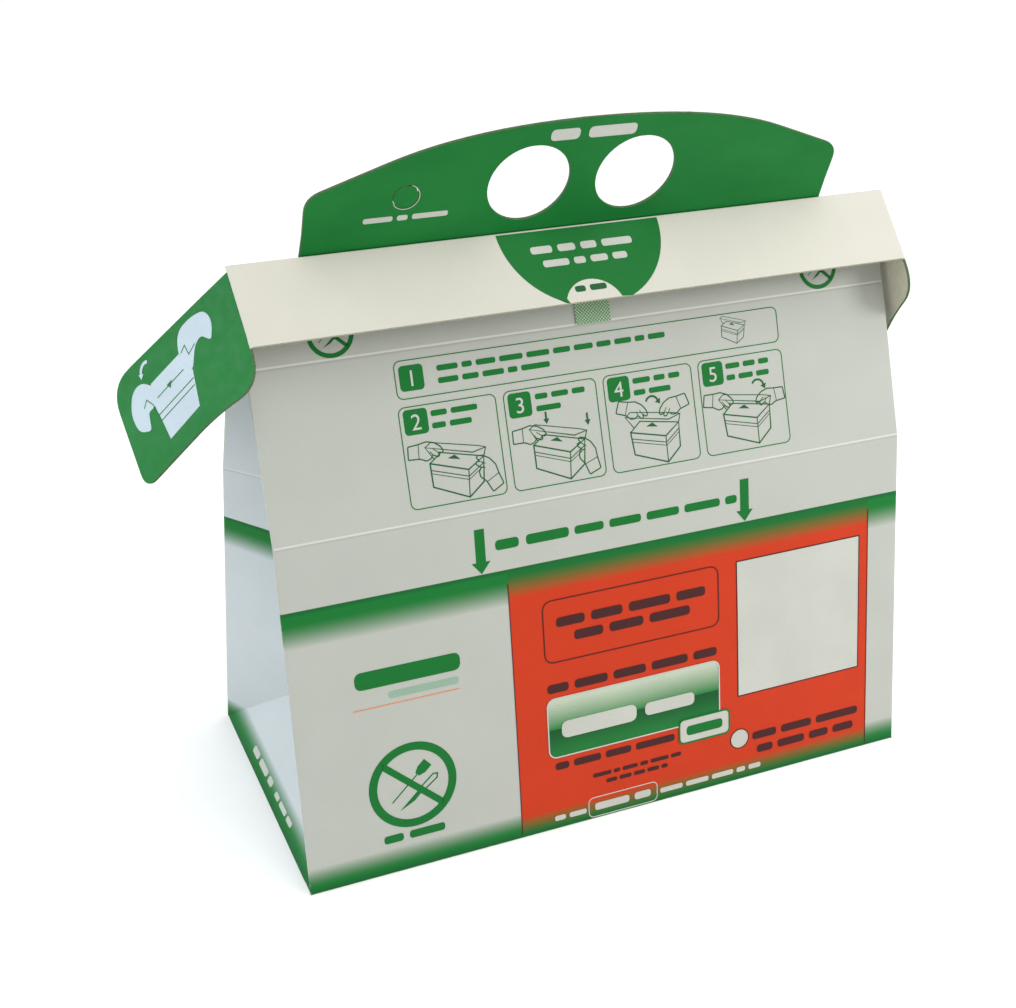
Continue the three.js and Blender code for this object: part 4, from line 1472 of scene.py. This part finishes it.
def handle_print():
    """Bars over the finger holes and under the half-cut disc, and the line printed round the disc."""
    white = Art().paragraph(((-17.9, 12.6, 37.2, 4.2), (-77.9, -49.3, 11.2, 2.0)), seed=51)
    white.line(arc(*TAG, TAG_RADIUS + 0.2, -150, 70, 24), 0.25)
    print_on(HANDLE, white, "handle_white_print", "handle_board", WHITE_INK)


def tab_print(side_name, sheet):
    """A plain drawing of a carton between two mittens, in pale ink with green lines."""
    white, lines = Art(), Art()
    white.fill([(27.5, 34.0), (44.5, 37.5), (47.5, 23.5), (46.5, 17.0), (30.0, 14.5), (26.0, 22.0)])
    near_sleeve = [(14.5, 17.6, 1.5), (11.8, 12.0, 3), (14.0, 7.4, 2.5), (21.0, 6.2, 4), (28.0, 7.8, 3),
                   (30.4, 13.5, 3), (29.4, 19.8, 1.5), (25.8, 21.8, 1), (22.0, 15.4, 2), (18.5, 14.0, 1.5)]
    far_sleeve = [(52.0, 31.0, 1.5), (58.0, 29.0, 3), (59.6, 22.0, 3), (56.5, 15.4, 3), (51.0, 14.2, 3),
                  (46.5, 17.5, 2), (43.5, 21.0, 1), (47.5, 24.5, 1.5), (51.0, 25.0, 1)]
    white.fill(rounded_outline(near_sleeve, 5))
    white.fill(rounded_outline(far_sleeve, 5))
    bent_arrow(white, 46.5, 12.5, 3.3, 250, 350, 1.1)
    lines.line([(27.0, 26.8), (46.0, 30.2)], 0.3)
    lines.line([(26.6, 24.6), (46.3, 28.0)], 0.3)
    lines.line([(30.0, 20.0), (45.0, 22.6)], 0.3)
    lines.line([(44.5, 37.5), (46.5, 28.0), (48.0, 24.0)], 0.3)
    lines.fill([(36.5, 20.4), (39.3, 20.9), (38.0, 22.6)])
    lines.line([(22.0, 15.0), (25.8, 16.8), (26.6, 13.2), (29.0, 14.8)], 0.3)
    lines.line([(47.8, 23.8), (50.4, 20.8), (52.6, 22.8)], 0.3)
    body = f"tab_{side_name}"
    print_on(sheet, white, f"{side_name}_tab_white_print", body, BLUISH_INK)
    print_on(sheet, lines, f"{side_name}_tab_line_print", body, GREEN_INK, 2)


def back_print():
    """The back carries a plain record box with ruled lines."""
    green = Art().line(rounded_box(-60, 30, 60, 82, 3.0), 0.5, closed=True)
    for row in range(4):
        v = 72 - 11 * row
        green.words(26, 54, v + 1.2, 1.9, seed=60 + row)
        green.line([(-54, v), (22, v)], 0.3)
    print_on(BACK_LOWER, green, "back_green_print", "carton", GREEN_INK)


def gusset_print(side_name, leaf):
    """Two short lines of plain bars in the foot band of a bottom gusset."""
    lines = ((DEPTH * 0.28, DEPTH * 0.46, 4.6, 2.0), (DEPTH * 0.50, DEPTH * 0.72, 4.8, 2.6))
    white = Art().paragraph(lines, seed=71)
    print_on(leaf, white, f"{side_name}_gusset_print", "carton", WHITE_INK)


# --- Stage ---


def add_lamp(name, kind, energy, colour, back, place=(0, 0, 0), **settings):
    """A lamp at a place that shines away from the direction `back`."""
    data = bpy.data.lights.new(name, kind)
    data.energy = energy
    data.color = colour
    for key, value in settings.items():
        setattr(data, key, value)
    lamp = bpy.data.objects.new(name, data)
    bpy.context.scene.collection.objects.link(lamp)
    lamp.location = place
    lamp.rotation_euler = Vector(back).to_track_quat("Z", "Y").to_euler()


def soft_light(name, place, aim, size, power, colour):
    """A round softbox at a place, turned toward its aim."""
    back = Vector(place) - Vector(aim)
    add_lamp(name, "AREA", power, colour, back, place, shape="DISK", size=size)


FLOOR_REACH = 12.0


def floor():
    mesh = bpy.data.meshes.new("floor")
    square = ((-1, -1), (1, -1), (1, 1), (-1, 1))
    corners = [(x * FLOOR_REACH, y * FLOOR_REACH, 0) for x, y in square]
    mesh.from_pydata(corners, [], [[0, 1, 2, 3]])
    look = Look("floor_paper", roughness=0.9, specular=0.1)
    clouds = look.ramp(look.noise(look.object_mm(), 40.0, 2.0), 0.3, 0.7)
    colour = look.mix(clouds, (0.93, 0.93, 0.93), (0.95, 0.95, 0.95))
    mesh.materials.append(look.finish(colour, 0.9))
    ground = bpy.data.objects.new("floor", mesh)
    bpy.context.scene.collection.objects.link(ground)


def camera():
    """A view from the front left, tilted down, with a very slight roll."""
    azimuth, elevation, roll = (math.radians(angle) for angle in (-24.11, 27.98, 1.33))
    data = bpy.data.cameras.new("camera")
    data.sensor_width = 36.0
    data.lens = 54.61
    data.clip_start = 0.01
    data.clip_end = 50.0
    eye = bpy.data.objects.new("camera", data)
    bpy.context.scene.collection.objects.link(eye)
    view = Matrix.Translation((-0.2254, -0.4492, 0.3667))
    for angle, axis in ((azimuth, "Z"), (math.pi / 2 - elevation, "X"), (roll, "Z")):
        view = view @ Matrix.Rotation(angle, 4, axis)
    eye.matrix_world = view
    bpy.context.scene.camera = eye


def studio():
    """Pale all round, with two softboxes and a broad high sun that lights the floor to its far edge."""
    world = bpy.data.worlds.new("studio")
    bpy.context.scene.world = world
    world.use_nodes = True
    background = world.node_tree.nodes["Background"]
    background.inputs["Color"].default_value = (1.0, 1.0, 1.0, 1)
    background.inputs["Strength"].default_value = 0.63
    spread = math.radians(60)
    add_lamp("high_sun", "SUN", 1.45, (1.0, 0.99, 0.97), (0.1, -0.25, 1.0), angle=spread)
    soft_light("right_light", (0.55, -0.42, 0.5), (0.12, 0, 0.15), 0.3, 2.7, (1.0, 0.98, 0.94))
    soft_light("left_light", (-0.9, 0.25, 0.4), (-0.12, 0, 0.1), 0.6, 4.2, (0.86, 0.95, 1.0))
    bpy.context.scene.view_settings.view_transform = "Standard"


# --- Build ---

camera()
studio()
floor()
panels()
for end in ("left", "right"):
    for part in ("front", "back"):
        corner_webs(end, part)
    gusset_print(end, bottom_gusset(end))
    tab_print(end, tab(end))
handle_and_ply()
small_pieces()
absorbent_mat()
front_lower_print()
front_upper_print()
flap_print()
handle_print()
back_print()
